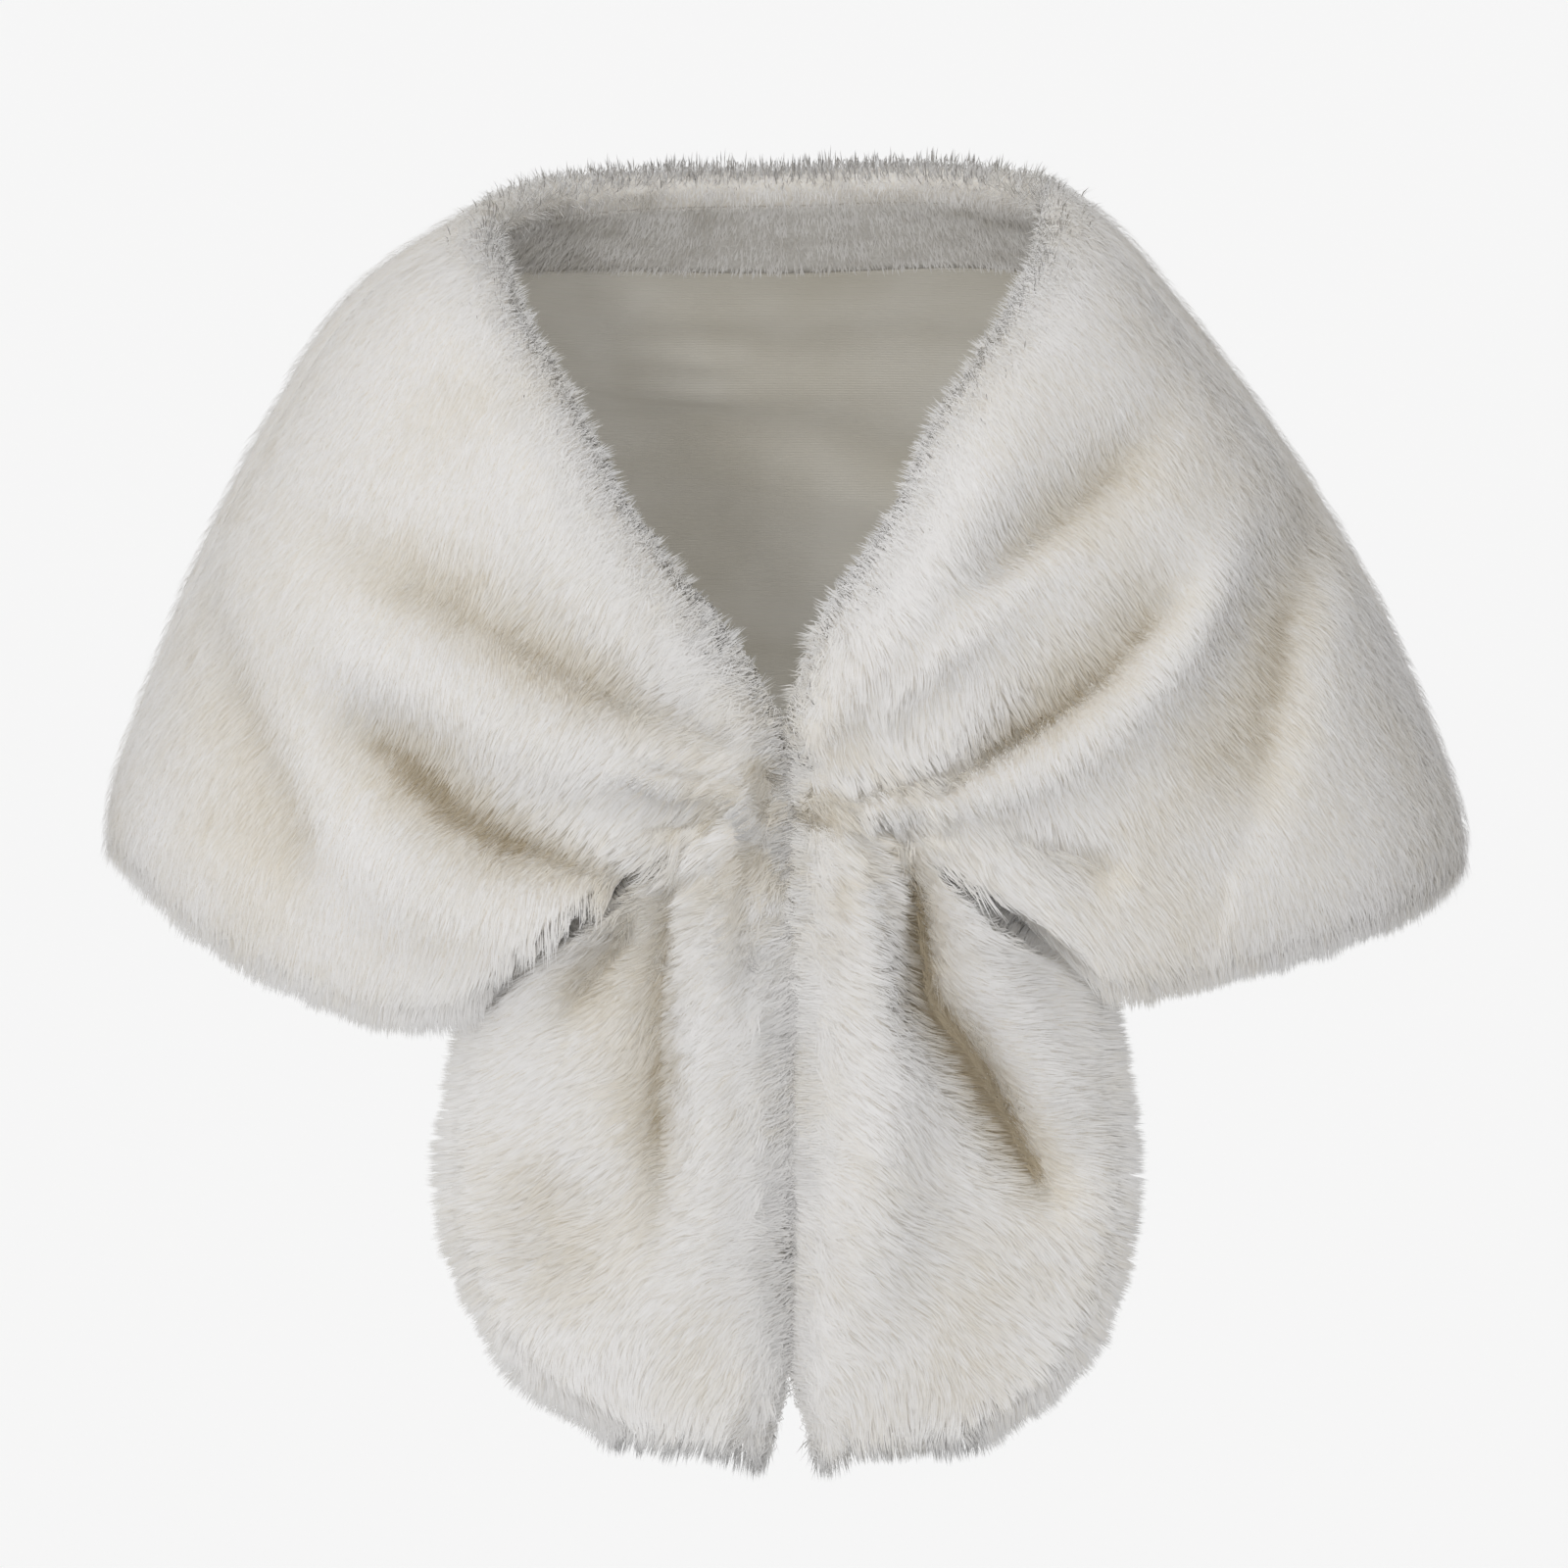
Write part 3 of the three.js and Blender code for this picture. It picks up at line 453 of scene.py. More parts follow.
def plain_material(name, colour, roughness, metallic=0.0, sheen=0.0):
    material = bpy.data.materials.new(name)
    material.use_nodes = True
    set_inputs(material.node_tree.nodes["Principled BSDF"], {
        "Base Color": colour, "Roughness": roughness, "Metallic": metallic,
        "Sheen Weight": sheen, "Sheen Roughness": SHEEN_ROUGHNESS,
    })
    return material


def ramp(nodes, stops):
    """A colour ramp with the given places and colours."""
    node = nodes.new("ShaderNodeValToRGB")
    elements = node.color_ramp.elements
    while len(elements) < len(stops):
        elements.new(0.5)
    for element, (position, colour) in zip(elements, stops):
        element.position = position
        element.color = colour
    return node


def tinted(material, stops, scale, detail):
    """Colours a material by noise, and returns the noise and the place that it reads."""
    nodes = material.node_tree.nodes
    place = nodes.new("ShaderNodeTexCoord")
    patches = nodes.new("ShaderNodeTexNoise")
    set_inputs(patches, {"Scale": scale, "Detail": detail})
    join(place, "Object", patches, "Vector")
    tint = ramp(nodes, stops)
    join(patches, "Fac", tint, "Fac")
    join(tint, "Color", nodes["Principled BSDF"], "Base Color")
    return patches, place


def embossed(material, relief, strength, depth):
    """Gives a material a texture's bump, its depth in metres."""
    nodes = material.node_tree.nodes
    bump = nodes.new("ShaderNodeBump")
    set_inputs(bump, {"Strength": strength, "Distance": depth})
    join(relief, "Fac", bump, "Height")
    join(bump, "Normal", nodes["Principled BSDF"], "Normal")


def cloth_material(name, colours, roughness, weave):
    """Woven cloth: slow changes of colour, and threads a millimetre apart as bump."""
    material = plain_material(name, colours[1], roughness, sheen=0.1)
    stops = [(0.3, colours[0]), (0.7, colours[1])]
    _, place = tinted(material, stops, PATCH_SCALE, PATCH_DETAIL)
    threads = material.node_tree.nodes.new("ShaderNodeTexWave")
    threads.bands_direction = "Z"
    set_inputs(threads, {"Scale": THREAD_SCALE, "Distortion": THREAD_WANDER})
    join(place, "Object", threads, "Vector")
    embossed(material, threads, weave, THREAD_DEPTH)
    return material


def grained_material(name, colours, roughness, scale, strength, metallic=0.0):
    """A surface with a fine grain in its colour and as bump."""
    material = plain_material(name, colours[1], roughness, metallic)
    stops = [(0.35, colours[0]), (0.65, colours[1])]
    grain, _ = tinted(material, stops, scale, GRAIN_DETAIL)
    embossed(material, grain, strength, GRAIN_DEPTH)
    return material


def strand_material(name, tones, root_shade, sheen):
    """Fur whose colour goes by the strand's tone, and darkens towards its root as painted shade.
    The strands' own map holds the share along a strand and its tone."""
    material = plain_material(name, tones[-1][1], STRAND_ROUGHNESS, sheen=sheen)
    nodes = material.node_tree.nodes
    shader = nodes["Principled BSDF"]
    set_inputs(shader, {"Specular IOR Level": STRAND_SPECULAR})
    uv = nodes.new("ShaderNodeUVMap")
    uv.uv_map = "OFBake"
    split = nodes.new("ShaderNodeSeparateXYZ")
    join(uv, "UV", split, "Vector")
    tone = ramp(nodes, tones)
    join(split, "Y", tone, "Fac")
    along = ramp(nodes, [(0, (*root_shade, 1)), (SHADE_END, (1, 1, 1, 1))])
    join(split, "X", along, "Fac")
    mix = nodes.new("ShaderNodeMix")
    mix.data_type = "RGBA"
    mix.blend_type = "MULTIPLY"
    set_inputs(mix, {"Factor": 1})
    join(tone, "Color", mix, "A")
    join(along, "Color", mix, "B")
    join(mix, "Result", shader, "Base Color")
    return material


# The brown low end of these tones is reached mostly through the painted shade in the valleys and
# round the gather.
FUR_TONES = [
    (0.0, srgb(198, 184, 158)),
    (0.35, srgb(243, 238, 228)),
    (0.7, srgb(253, 252, 251)),
    (1.0, srgb(255, 254, 254)),
]
FACING_TONES = [
    (0.0, srgb(206, 202, 194)),
    (0.5, srgb(238, 236, 234)),
    (1.0, srgb(250, 249, 248)),
]
fur = strand_material("fur", FUR_TONES, root_shade=(0.975, 0.965, 0.945), sheen=0.1)
SOFT_GRAIN = {"roughness": 0.95, "scale": 700, "strength": 0.5}
undercoat = grained_material("undercoat", (srgb(242, 237, 229), srgb(251, 249, 245)), **SOFT_GRAIN)
satin = cloth_material("satin", (srgb(208, 203, 191), srgb(226, 223, 216)),
                       roughness=0.42, weave=0.35)
facing_under = grained_material("facing_under", (srgb(206, 203, 198), srgb(222, 220, 216)),
                                **SOFT_GRAIN)
facing_fur = strand_material("facing_fur", FACING_TONES, root_shade=(0.9, 0.89, 0.87), sheen=0.1)
steel = grained_material("steel", (srgb(176, 178, 180), srgb(196, 198, 200)),
                         roughness=0.3, scale=2500, strength=0.12, metallic=1.0)


# ---- Camera, at the height of the middle of the shawl and far off ----
CAMERA_ELEVATION = math.radians(6)
CAMERA_AWAY = 12.0
CAMERA_AIM = Vector((-0.0024, 0, -0.2413))
FRAME_WIDTH = 0.64  # metres across the picture at the shawl


def look_along(thing, direction):
    """Turns a camera or a lamp to a direction and adds it to the scene."""
    thing.rotation_mode = "QUATERNION"
    thing.rotation_quaternion = direction.to_track_quat("-Z", "Y")
    SCENE.collection.objects.link(thing)


camera_data = bpy.data.cameras.new("camera")
camera_data.sensor_width = 36
camera_data.lens = camera_data.sensor_width * CAMERA_AWAY / FRAME_WIDTH
camera_data.clip_end = 100
camera = bpy.data.objects.new("camera", camera_data)
back = Vector((0, -math.cos(CAMERA_ELEVATION), math.sin(CAMERA_ELEVATION)))
camera.location = CAMERA_AIM + back * CAMERA_AWAY
look_along(camera, -back)
SCENE.camera = camera

# ---- Shell: the undercoat of each stretch ----
SPARE_ROW = 0.05  # rows past each end that show the slope there
SHORTEST_STEP = 0.2  # between columns, where the curve is taken
CURVE_LIMITS = (-0.08, 0.14)
TAIL_END_REACH = 6
TAIL_END_RINGS = 5
LAST_GAP = 0.3  # of a ring's step, left open in the middle of a tail's end


def shell_rings(side, t0, t1, count):
    """Rings of the undercoat from row t0 to t1, with one more ring past each end."""
    t = even_rows(side, t0, t1, count)
    t = np.concatenate([[t[0] - SPARE_ROW if t0 > 0 else SPARE_ROW], t, [t[-1] + SPARE_ROW]])
    t = np.clip(t, 0, TAIL_END)
    reach = HEM_REACH_SHARE * through(ROWS, SECTIONS[:, 8], t)
    return wall(side, t, reach)


def winding_sign(rings):
    """1 where across times along points out of the rings, and -1 where it points in."""
    middle = rings[len(rings) // 2]
    onward = rings[len(rings) // 2 + 1] - middle
    centre = middle.mean(0)
    normal = np.cross(np.roll(middle, -1, 0) - np.roll(middle, 1, 0), onward)
    return 1 if dot(normal, middle - centre).sum() > 0 else -1


def grid_normals(rings, sign):
    """Unit normals and the two tangents of a grid of closed rings with a spare row at each end."""
    along = rings[2:] - rings[:-2]
    inner = rings[1:-1]
    across = np.roll(inner, -1, 1) - np.roll(inner, 1, 1)
    return unit(np.cross(across, along)) * sign, unit(across), unit(along)


def curving(rings, normals, across):
    """How fast the surface turns away along each ring, in radians to a millimetre."""
    turn = np.roll(normals, -1, 1) - np.roll(normals, 1, 1)
    step = np.linalg.norm(np.roll(rings, -1, 1) - np.roll(rings, 1, 1), axis=-1)
    curve = dot(turn, across)[..., 0] / np.maximum(step, SHORTEST_STEP)
    curve = (np.roll(curve, 1, 1) + 2 * curve + np.roll(curve, -1, 1)) / 4
    return np.clip(curve, *CURVE_LIMITS)


def end_rings(rings, columns_v, turned):
    """Rings that close a tail's end, on the middle of its wall."""
    last = rings[-1]

    def spread(face):
        """One face of the last ring, taken at every column's share of the width."""
        order = np.flatnonzero(face)[np.argsort(columns_v[face])]
        return np.stack([np.interp(columns_v, columns_v[order], last[order, k])
                         for k in range(3)], -1)

    top, bottom = spread(turned == 0), spread(turned == math.pi)
    middle = (top + bottom) / 2
    first, final = np.flatnonzero(turned == 0)[[0, -1]]
    thick = (top - bottom)[first]
    onward = unit(np.cross(last[final] - last[first], thick))
    if onward[2] > 0:
        onward = -onward
    rings_out = []
    for k in range(1, TAIL_END_RINGS + 1):
        angle = math.pi / 2 * k / (TAIL_END_RINGS + LAST_GAP)
        rings_out.append(middle + (last - middle) * math.cos(angle)
                         + onward * TAIL_END_REACH * math.sin(angle))
    return np.stack(rings_out)


# Side, first and last row, and the number of rings; the back runs over both sides.
STRETCHES = {
    "back": (None, 0, SHOULDER, 121),
    "front_right": (-1, SHOULDER, GATHER, 81),
    "front_left": (1, SHOULDER, GATHER, 81),
    "tail_right": (-1, GATHER, TAIL_END, 55),
    "tail_left": (1, GATHER, TAIL_END, 55),
}
# Columns where the neck edge and the hem turn round.
NECK_COLUMN = ARC_STEPS // 2 - 1
HEM_COLUMN = ARC_STEPS + len(OUTER_V) + ARC_STEPS // 2 - 1


def kind_of(stretch):
    return stretch.split("_")[0]


def build_stretch(stretch):
    """Grid of the undercoat with all that the strands need: a dict of arrays."""
    side, t0, t1, count = STRETCHES[stretch]
    if side is None:
        half = (count + 1) // 2
        right, v, turned, right_lift = shell_rings(-1, t0, t1, half)
        left, _, _, left_lift = shell_rings(1, t0, t1, half)
        rings = np.concatenate([right[:0:-1], left[2:]])
        lift = np.concatenate([right_lift[:0:-1], left_lift[2:]])
    else:
        rings, v, turned, lift = shell_rings(side, t0, t1, count)
    sign = winding_sign(rings)
    directions = grid_normals(rings, sign)
    rings, lift = rings[1:-1], lift[1:-1]
    ends = np.zeros(len(rings))
    if kind_of(stretch) == "tail":
        extra = end_rings(rings, v, turned)
        more = grid_normals(np.concatenate([rings[-2:], extra, extra[-1:]]), sign)
        directions = [np.concatenate([a[:-1], b]) for a, b in zip(directions, more)]
        rings = np.concatenate([rings, extra])
        lift = np.concatenate([lift, np.repeat(lift[-1:], len(extra), 0)])
        ends = np.concatenate([ends, np.arange(1, len(extra) + 1) / len(extra)])
    normals, across, along = directions
    return {
        "tail": kind_of(stretch) == "tail", "sign": sign, "rings": rings, "normals": normals,
        "across": across, "along": along, "curve": curving(rings, normals, across),
        "v": v, "turned": turned, "lift": lift, "ends": ends,
    }


# ---- Strands: where they root ----
TURNED_NECK = -3.0  # radians round the neck edge and the hem that the fur still covers
TURNED_HEM = 2.8
EDGE_WIDTH = 0.05  # share of the width at each edge over which the fur is denser
NECK_EXTRA, HEM_EXTRA = 1.1, 0.5
NECK_LIT, HEM_LIT = 1.3, 2.6  # how strongly fur round the edges is lit as the outside is


def sample_roots(grid, count, rng):
    """Random places over the furred part of a grid, evenly by area."""
    rings, turned = grid["rings"], grid["turned"]
    columns = np.flatnonzero((turned > TURNED_NECK) & (turned < TURNED_HEM))
    first, last = columns[0], columns[-1]
    part = rings[:, first:last + 1]
    down, over = part[1:, :-1] - part[:-1, :-1], part[:-1, 1:] - part[:-1, :-1]
    area = np.linalg.norm(np.cross(down, over), axis=-1)
    edge_v = grid["v"][first:last]
    weight = (1 + NECK_EXTRA * (1 - smooth(edge_v / EDGE_WIDTH))
              + HEM_EXTRA * smooth((edge_v - (1 - EDGE_WIDTH)) / EDGE_WIDTH))
    total = (area * weight).ravel().cumsum()
    picks = np.searchsorted(total, (np.arange(count) + rng.random(count)) * total[-1] / count)
    i, j = np.divmod(np.minimum(picks, area.size - 1), area.shape[1])
    j = j + first
    a, b = rng.random(count), rng.random(count)

    def mixed(field):
        """A field of the grid at the chosen places, between the corners round each."""
        if field.ndim == 1:
            return field[j] * (1 - b) + field[j + 1] * b
        w = [a, b] if field.ndim == 2 else [a[:, None], b[:, None]]
        return ((field[i, j] * (1 - w[0]) + field[i + 1, j] * w[0]) * (1 - w[1])
                + (field[i, j + 1] * (1 - w[0]) + field[i + 1, j + 1] * w[0]) * w[1])

    # Round the edges fur lets light through, and shades nearly as the outside beside it does.
    normal, turn = unit(mixed(grid["normals"])), mixed(turned)
    outside = np.where(grid["v"][j] < 0.5, ARC_STEPS, ARC_STEPS + len(OUTER_V) - 1)
    beside = np.clip(np.abs(turn), 0, 1)[:, None] * grid["normals"][i, outside]
    lit = unit(normal + np.where(turn > 0, HEM_LIT, NECK_LIT)[:, None] * beside)
    return {
        "place": mixed(rings), "normal": normal, "lit": lit, "turned": turn, "area": area.sum(),
        "across": unit(mixed(grid["across"])), "along": unit(mixed(grid["along"])),
        "end": grid["ends"][i] * (1 - a) + grid["ends"][i + 1] * a,
        **{field: mixed(grid[field]) for field in ("lift", "curve", "v")},
    }


GATHER_CENTRE = np.array([0, -140, -240])
GATHER_SHAPE = np.array([1, 0.6, 1])
RUFFLED_RANGE = 170  # from the gather
RUFFLED_TAIL, RUFFLED_TAIL_FADE = 300, 120  # starts this far below the origin, over this much


def gather_distance(place):
    return np.linalg.norm((place - GATHER_CENTRE) * GATHER_SHAPE, axis=-1)


def ruffle(place):
    """How ruffled the fur is, from 0 to 1: most near the gather and down the tails."""
    gather = 0.88 * smooth(1.15 - gather_distance(place) / RUFFLED_RANGE)
    tails = smooth((-place[:, 2] - RUFFLED_TAIL) / RUFFLED_TAIL_FADE) * 0.5
    return np.clip(0.12 + gather + tails, 0, 1)


# ---- Strands: how they lie ----
DOWN = np.array([0, 0, -1.0])
STRAGGLE = 0.9  # along the band, over the line where two stretches meet
ROOT_DEPTH = 1.5
CREASE_X, CREASE_Z, CREASE_RANGE = 86, -280, 42  # the hem beside the tails
CREASE_V, CREASE_V_FADE = 0.80, 0.12
TAIL_COMB, TAIL_COMB_FADE = 400, 100  # below this the tails are combed to their ends
NECK_FRINGE, TAIL_FRINGE = 0.07, 0.16  # shares of the width that the neck edge's fringe takes
OPENING_LOW, OPENING_FADE = -228, 25  # height where the neck opening ends
FUR_LENGTH, RUFFLED_LENGTH = 12, 3.5
LENGTH_SPREAD = (0.75, 1.1)
LYING, STANDING = 0.08, 0.38  # radians off the skin
STANDING_SHARE = 0.16
VALLEY_DEPTH, VALLEY_STAND = 8, 0.3  # tips stand over the valleys
EDGE_FAN = 0.85
BEND, RUFFLED_BEND = 0.10, 0.25
SAG = 0.10
ASTRAY_ANGLES = (0.4, 2.3)


def crease_share(grid, place, v):
    """How much a strand is one of the long ones that hang over the crease beside the tails."""
    if grid["tail"]:
        return np.zeros(len(place))
    away = np.hypot(np.abs(place[:, 0]) - CREASE_X, place[:, 2] - CREASE_Z)
    low = smooth((v - CREASE_V) / CREASE_V_FADE)
    return smooth(1.7 - away / CREASE_RANGE) * low * (place[:, 1] < 0)


def combed(grid, roots, place, over_crease, near_neck, rng, spread):
    """The way along the skin that each strand lies: down the band, with swirls."""
    n, nap = roots["normal"], roots["across"]
    ruffled = ruffle(place)
    if grid["tail"]:
        toward_end = smooth((-place[:, 2] - TAIL_COMB) / TAIL_COMB_FADE)[:, None]
        nap = nap * (1 - 0.45 * toward_end) + roots["along"] * 0.9 * toward_end
    nap = nap + (0.35 + 0.8 * over_crease[:, None]) * (DOWN - dot(n, DOWN) * n)
    swirl = (0.12 + 0.30 * ruffled) * noise(place, 46, 3)
    swirl = swirl + (0.05 + 0.25 * ruffled) * noise(place, 15, 4)
    swirl = swirl + rng.normal(0, 0.07 + 0.25 * near_neck, len(place)) * spread
    side_way = np.cross(n, nap)
    return unit(nap * np.cos(swirl)[:, None] + side_way * np.sin(swirl)[:, None])


def strand_lengths(roots, place, over_crease, near_neck, rng):
    length = (FUR_LENGTH + RUFFLED_LENGTH * ruffle(place)) * (1 + 0.10 * noise(place, 9, 5))
    length = length * rng.uniform(*LENGTH_SPREAD, len(place))
    length = length * (1 + 0.7 * over_crease + 0.25 * near_neck)
    # Those that root on the underside of the hem there are short.
    return np.where((over_crease > 0.3) & (roots["turned"] > 0.9), 0.3 * length, length)


def strand_angles(roots, place, length, over_crease, rng):
    """Angles off the skin of each strand's root half and tip half. Most strands lie close; some
    stand, more of them where the fur is ruffled."""
    turned, end, count = roots["turned"], roots["end"], len(place)
    ruffled = ruffle(place)
    edge = np.clip(np.abs(turned) / (math.pi / 2), 0, 1)
    stands = rng.random(count) < STANDING_SHARE + (1 - STANDING_SHARE) * ruffled
    standing = STANDING + ruffled * (0.15 + 0.2 * noise(place, 11, 6))
    base = np.where(stands, standing, LYING)
    base = base + rng.normal(0, 0.03 + 0.10 * ruffled, count)
    base = base + VALLEY_STAND * np.clip(-roots["lift"] / VALLEY_DEPTH, 0, 1)
    base = base + EDGE_FAN * np.maximum(np.maximum(turned, 0), end * math.pi / 2)
    base = base * (1 - 0.75 * over_crease)
    tip = base - (BEND + RUFFLED_BEND * ruffled) * (1 - edge * 0.6)
    follow = np.where(turned > 0.1, 0, roots["curve"] * (1 - end)) * length
    return base - follow * 0.14, tip - follow * 0.6


def lay_strands(roots, grid, rng, spread=1.0):
    """The root, middle and tip of a strand at each root."""
    n, v, turned = roots["normal"], roots["v"], roots["turned"]
    place = roots["place"] + roots["along"] * rng.normal(0, STRAGGLE, len(n))[:, None]
    over_crease = crease_share(grid, place, v)
    near_neck = 1 - smooth(v / (TAIL_FRINGE if grid["tail"] else NECK_FRINGE))
    nap = combed(grid, roots, place, over_crease, near_neck, rng, spread)
    length = strand_lengths(roots, place, over_crease, near_neck, rng)
    base, bend = strand_angles(roots, place, length, over_crease, rng)
    # Round the neck edge a share of them stick out any way, towards the opening too.
    free = 0 if grid["tail"] else smooth((place[:, 2] - OPENING_LOW) / OPENING_FADE)
    share = free * (0.03 * near_neck + 0.3 * np.clip(-turned / 0.8, 0, 1))
    astray = rng.random(len(place)) < share
    wild = rng.uniform(*ASTRAY_ANGLES, len(place))
    base, bend = np.where(astray, wild, base), np.where(astray, wild - 0.1, bend)
    length = np.where(astray, 0.6 * length, length)
    half = (length / 2)[:, None]
    middle = place + half * (nap * np.cos(base)[:, None] + n * np.sin(base)[:, None])
    tip_way = nap * np.cos(bend)[:, None] + n * np.sin(bend)[:, None]
    return place - ROOT_DEPTH * n, middle, middle + half * unit(tip_way + SAG * DOWN)


def clumped(points, clumps, rng, pull):
    """Pulls the strands' middles and tips towards those of the nearest clump's own strand."""
    tree = KDTree(len(clumps[0]))
    for index, place in enumerate(clumps[0]):
        tree.insert(place, index)
    tree.balance()
    nearest = np.array([tree.find(place)[1] for place in points[0]])
    pull = pull * (0.3 + 0.9 * ruffle(points[0]))
    k = (pull * rng.uniform(0.4, 1.3, len(nearest)))[:, None]
    root, middle, tip = points
    return (root, middle + (clumps[1][nearest] - middle) * 0.45 * k,
            tip + (clumps[2][nearest] - tip) * k), nearest


# ---- Strands: their meshes ----
PIECE_STRANDS = 98000
STRAND_WIDTH, FACING_STRAND_WIDTH = 0.45, 0.5
ROLL = 0.12  # radians that a strand rolls about its own length
OWN_NORMAL = 0.1  # share of a strand's own facing in its shading
SHADE_SCATTER = 0.06
ALONG_MAP = np.array([0, 0.5, 0.5, 0.5, 0.5, 1]) * 0.98 + 0.01  # for the six corners of a kite
ACROSS_MAP = np.array([0, 1, -1, -1, 1, 0]) * 0.002


def strand_mesh(name, vertices, shade, tone):
    """Kites of two triangles on each four vertices, with their shading and their map."""
    count = len(tone)
    corners = (np.arange(count)[:, None] * 4 + [0, 1, 3, 3, 1, 2]).astype(np.int32)
    mesh = bpy.data.meshes.new(name)
    mesh.vertices.add(len(vertices))
    mesh.vertices.foreach_set("co", (vertices * MM).ravel())
    mesh.loops.add(corners.size)
    mesh.loops.foreach_set("vertex_index", corners.ravel())
    mesh.polygons.add(count * 2)
    mesh.polygons.foreach_set("loop_start", np.arange(0, count * 6, 3, dtype=np.int32))
    mesh.polygons.foreach_set("use_smooth", np.ones(count * 2, bool))
    mesh.update(calc_edges=True)
    uv = mesh.uv_layers.new(name="OFBake")
    u, w = np.tile(ALONG_MAP, (count, 1)), np.clip(tone, 0.01, 0.99)[:, None] + ACROSS_MAP
    uv.data.foreach_set("uv", np.stack([u, w], -1).ravel())
    mesh.normals_split_custom_set_from_vertices(np.repeat(shade, 4, 0).tolist())
    return mesh


def strand_pieces(name, points, normals, tones, width, material, rng):
    """Thin kites bent at the middle through each strand's points, as pieces of limited size."""
    pieces = []
    total = len(points[0])
    parts = max(1, math.ceil(total / PIECE_STRANDS))
    for part in range(parts):
        chosen = np.arange(part, total, parts)
        count = len(chosen)
        root, middle, tip = (p[chosen] for p in points)
        n = normals[chosen]
        along = unit(tip - root)
        flat = unit(np.cross(along, n))
        roll = rng.normal(0, ROLL, count)[:, None]
        cross = flat * np.cos(roll) + np.cross(flat, along) * np.sin(roll)
        own = unit(np.cross(cross, along))
        own = np.where(dot(own, n) < 0, -own, own)
        half = (width * rng.uniform(0.8, 1.2, count) / 2)[:, None] * np.cross(along, own)
        vertices = np.stack([root, middle + half, tip, middle - half], 1).reshape(-1, 3)
        shade = unit(n + OWN_NORMAL * own + SHADE_SCATTER * rng.normal(0, 1, (count, 3)))
        suffix = f"_{part + 1}" if parts > 1 else ""
        mesh = strand_mesh(name, vertices, shade, tones[chosen])
        piece = new_piece(name + suffix, mesh, material)
        piece.visible_shadow = False  # keeps the fur as soft as plush, with no strand-sized shade
        pieces.append(piece)
    return pieces


# ---- The furred stretches ----
STRAND_COUNTS = {"back": 110000, "front": 86000, "tail": 52000}
FACING_STRANDS = 18000
CLUMP_AREA = 16  # square millimetres to a clump
CLUMP_PULL = 0.5
PAINTED_FOLD_SHADE = {"back": 0.016, "front": 0.034, "tail": 0.041}  # painted shade: tone lost to a millimetre of fold
RIDGE_LIGHT_SHARE = 0.28  # of that, gained on a ridge as painted light
DEEP_FOLD, PAINTED_DEEP_SHADE = 8, 0.06  # more painted shade: tone lost besides, to a millimetre deeper than this
GATHER_SHADE_RANGE = 55  # from the gather, over which its creases get painted shade
FACING_REACH = 82  # to each side of the middle, where the neck edge carries facing fur
FIRST_SEED = 11


def fur_tones(stretch, roots, nearest, clump_count, rng):
    """The tone of each strand, from brown to white: browner in the valleys and the gather as
    painted shade, lighter on the ridges as painted light, and varied at random.
    """
    place, lift = roots["place"], roots["lift"]
    # Painted shade in the valleys and painted light on the ridges, by how far the folds lift the
    # fur.
    fold_light_and_shade = PAINTED_FOLD_SHADE[kind_of(stretch)] * lift * np.where(lift < 0, 1, RIDGE_LIGHT_SHARE)
    # Painted shade in the gather's creases, in warm patches by noise.
    gather_shade = (0.3 * smooth(1.3 - gather_distance(place) / GATHER_SHADE_RANGE)
             * np.clip(0.5 + noise(place, 9, 61), 0, 1))
    return (0.66 + fold_light_and_shade + PAINTED_DEEP_SHADE * np.minimum(lift + DEEP_FOLD, 0) - gather_shade
            + 0.08 * noise(place, 35, 8) + rng.normal(0, 0.05, len(nearest))
            + rng.normal(0, 0.04, clump_count)[nearest])


def furred(stretch):
    """One stretch of the shell: its undercoat and its strands."""
    rng = np.random.default_rng(sorted(STRETCHES).index(stretch) + FIRST_SEED)
    grid = build_stretch(stretch)
    vertices, faces = closed_mesh(grid["rings"], (NECK_COLUMN, HEM_COLUMN), grid["sign"])
    shell = smooth_piece(f"undercoat_{stretch}", vertices, faces, undercoat)
    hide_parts(f"shell_{stretch}")
    roots = sample_roots(grid, STRAND_COUNTS[kind_of(stretch)], rng)
    points = lay_strands(roots, grid, rng)
    clump_count = int(roots["area"] / CLUMP_AREA)
    clumps = lay_strands(sample_roots(grid, clump_count, rng), grid, rng, spread=1.6)
    points, nearest = clumped(points, clumps, rng, CLUMP_PULL)
    tone = fur_tones(stretch, roots, nearest, clump_count, rng)
    # Behind the neck the fur that turns over the edge is the facing's.
    place = roots["place"]
    over = ((roots["turned"] < np.minimum(-0.35 + 0.5 * noise(place, 14, 41), -0.1))
            & (np.abs(place[:, 0]) < FACING_REACH) & (stretch == "back"))
    strands = strand_pieces(f"pile_{stretch}", [p[~over] for p in points], roots["lit"][~over],
                            tone[~over], STRAND_WIDTH, fur, rng)
    if over.any():
        strands += strand_pieces("pile_neck", [p[over] for p in points], roots["lit"][over],
                                 tone[over], STRAND_WIDTH, facing_fur, rng)
    return shell, strands


# The undercoat and the strands of each stretch.
shells = {stretch: furred(stretch) for stretch in STRETCHES}

# ---- Lining and neck facing ----
LINING, FACING = 1.0, 2.0  # thicknesses
SKIN_GAP = 0.4  # between the shell and the skins under it
HEM_SPAN = 0.977  # share of the width where the lining ends
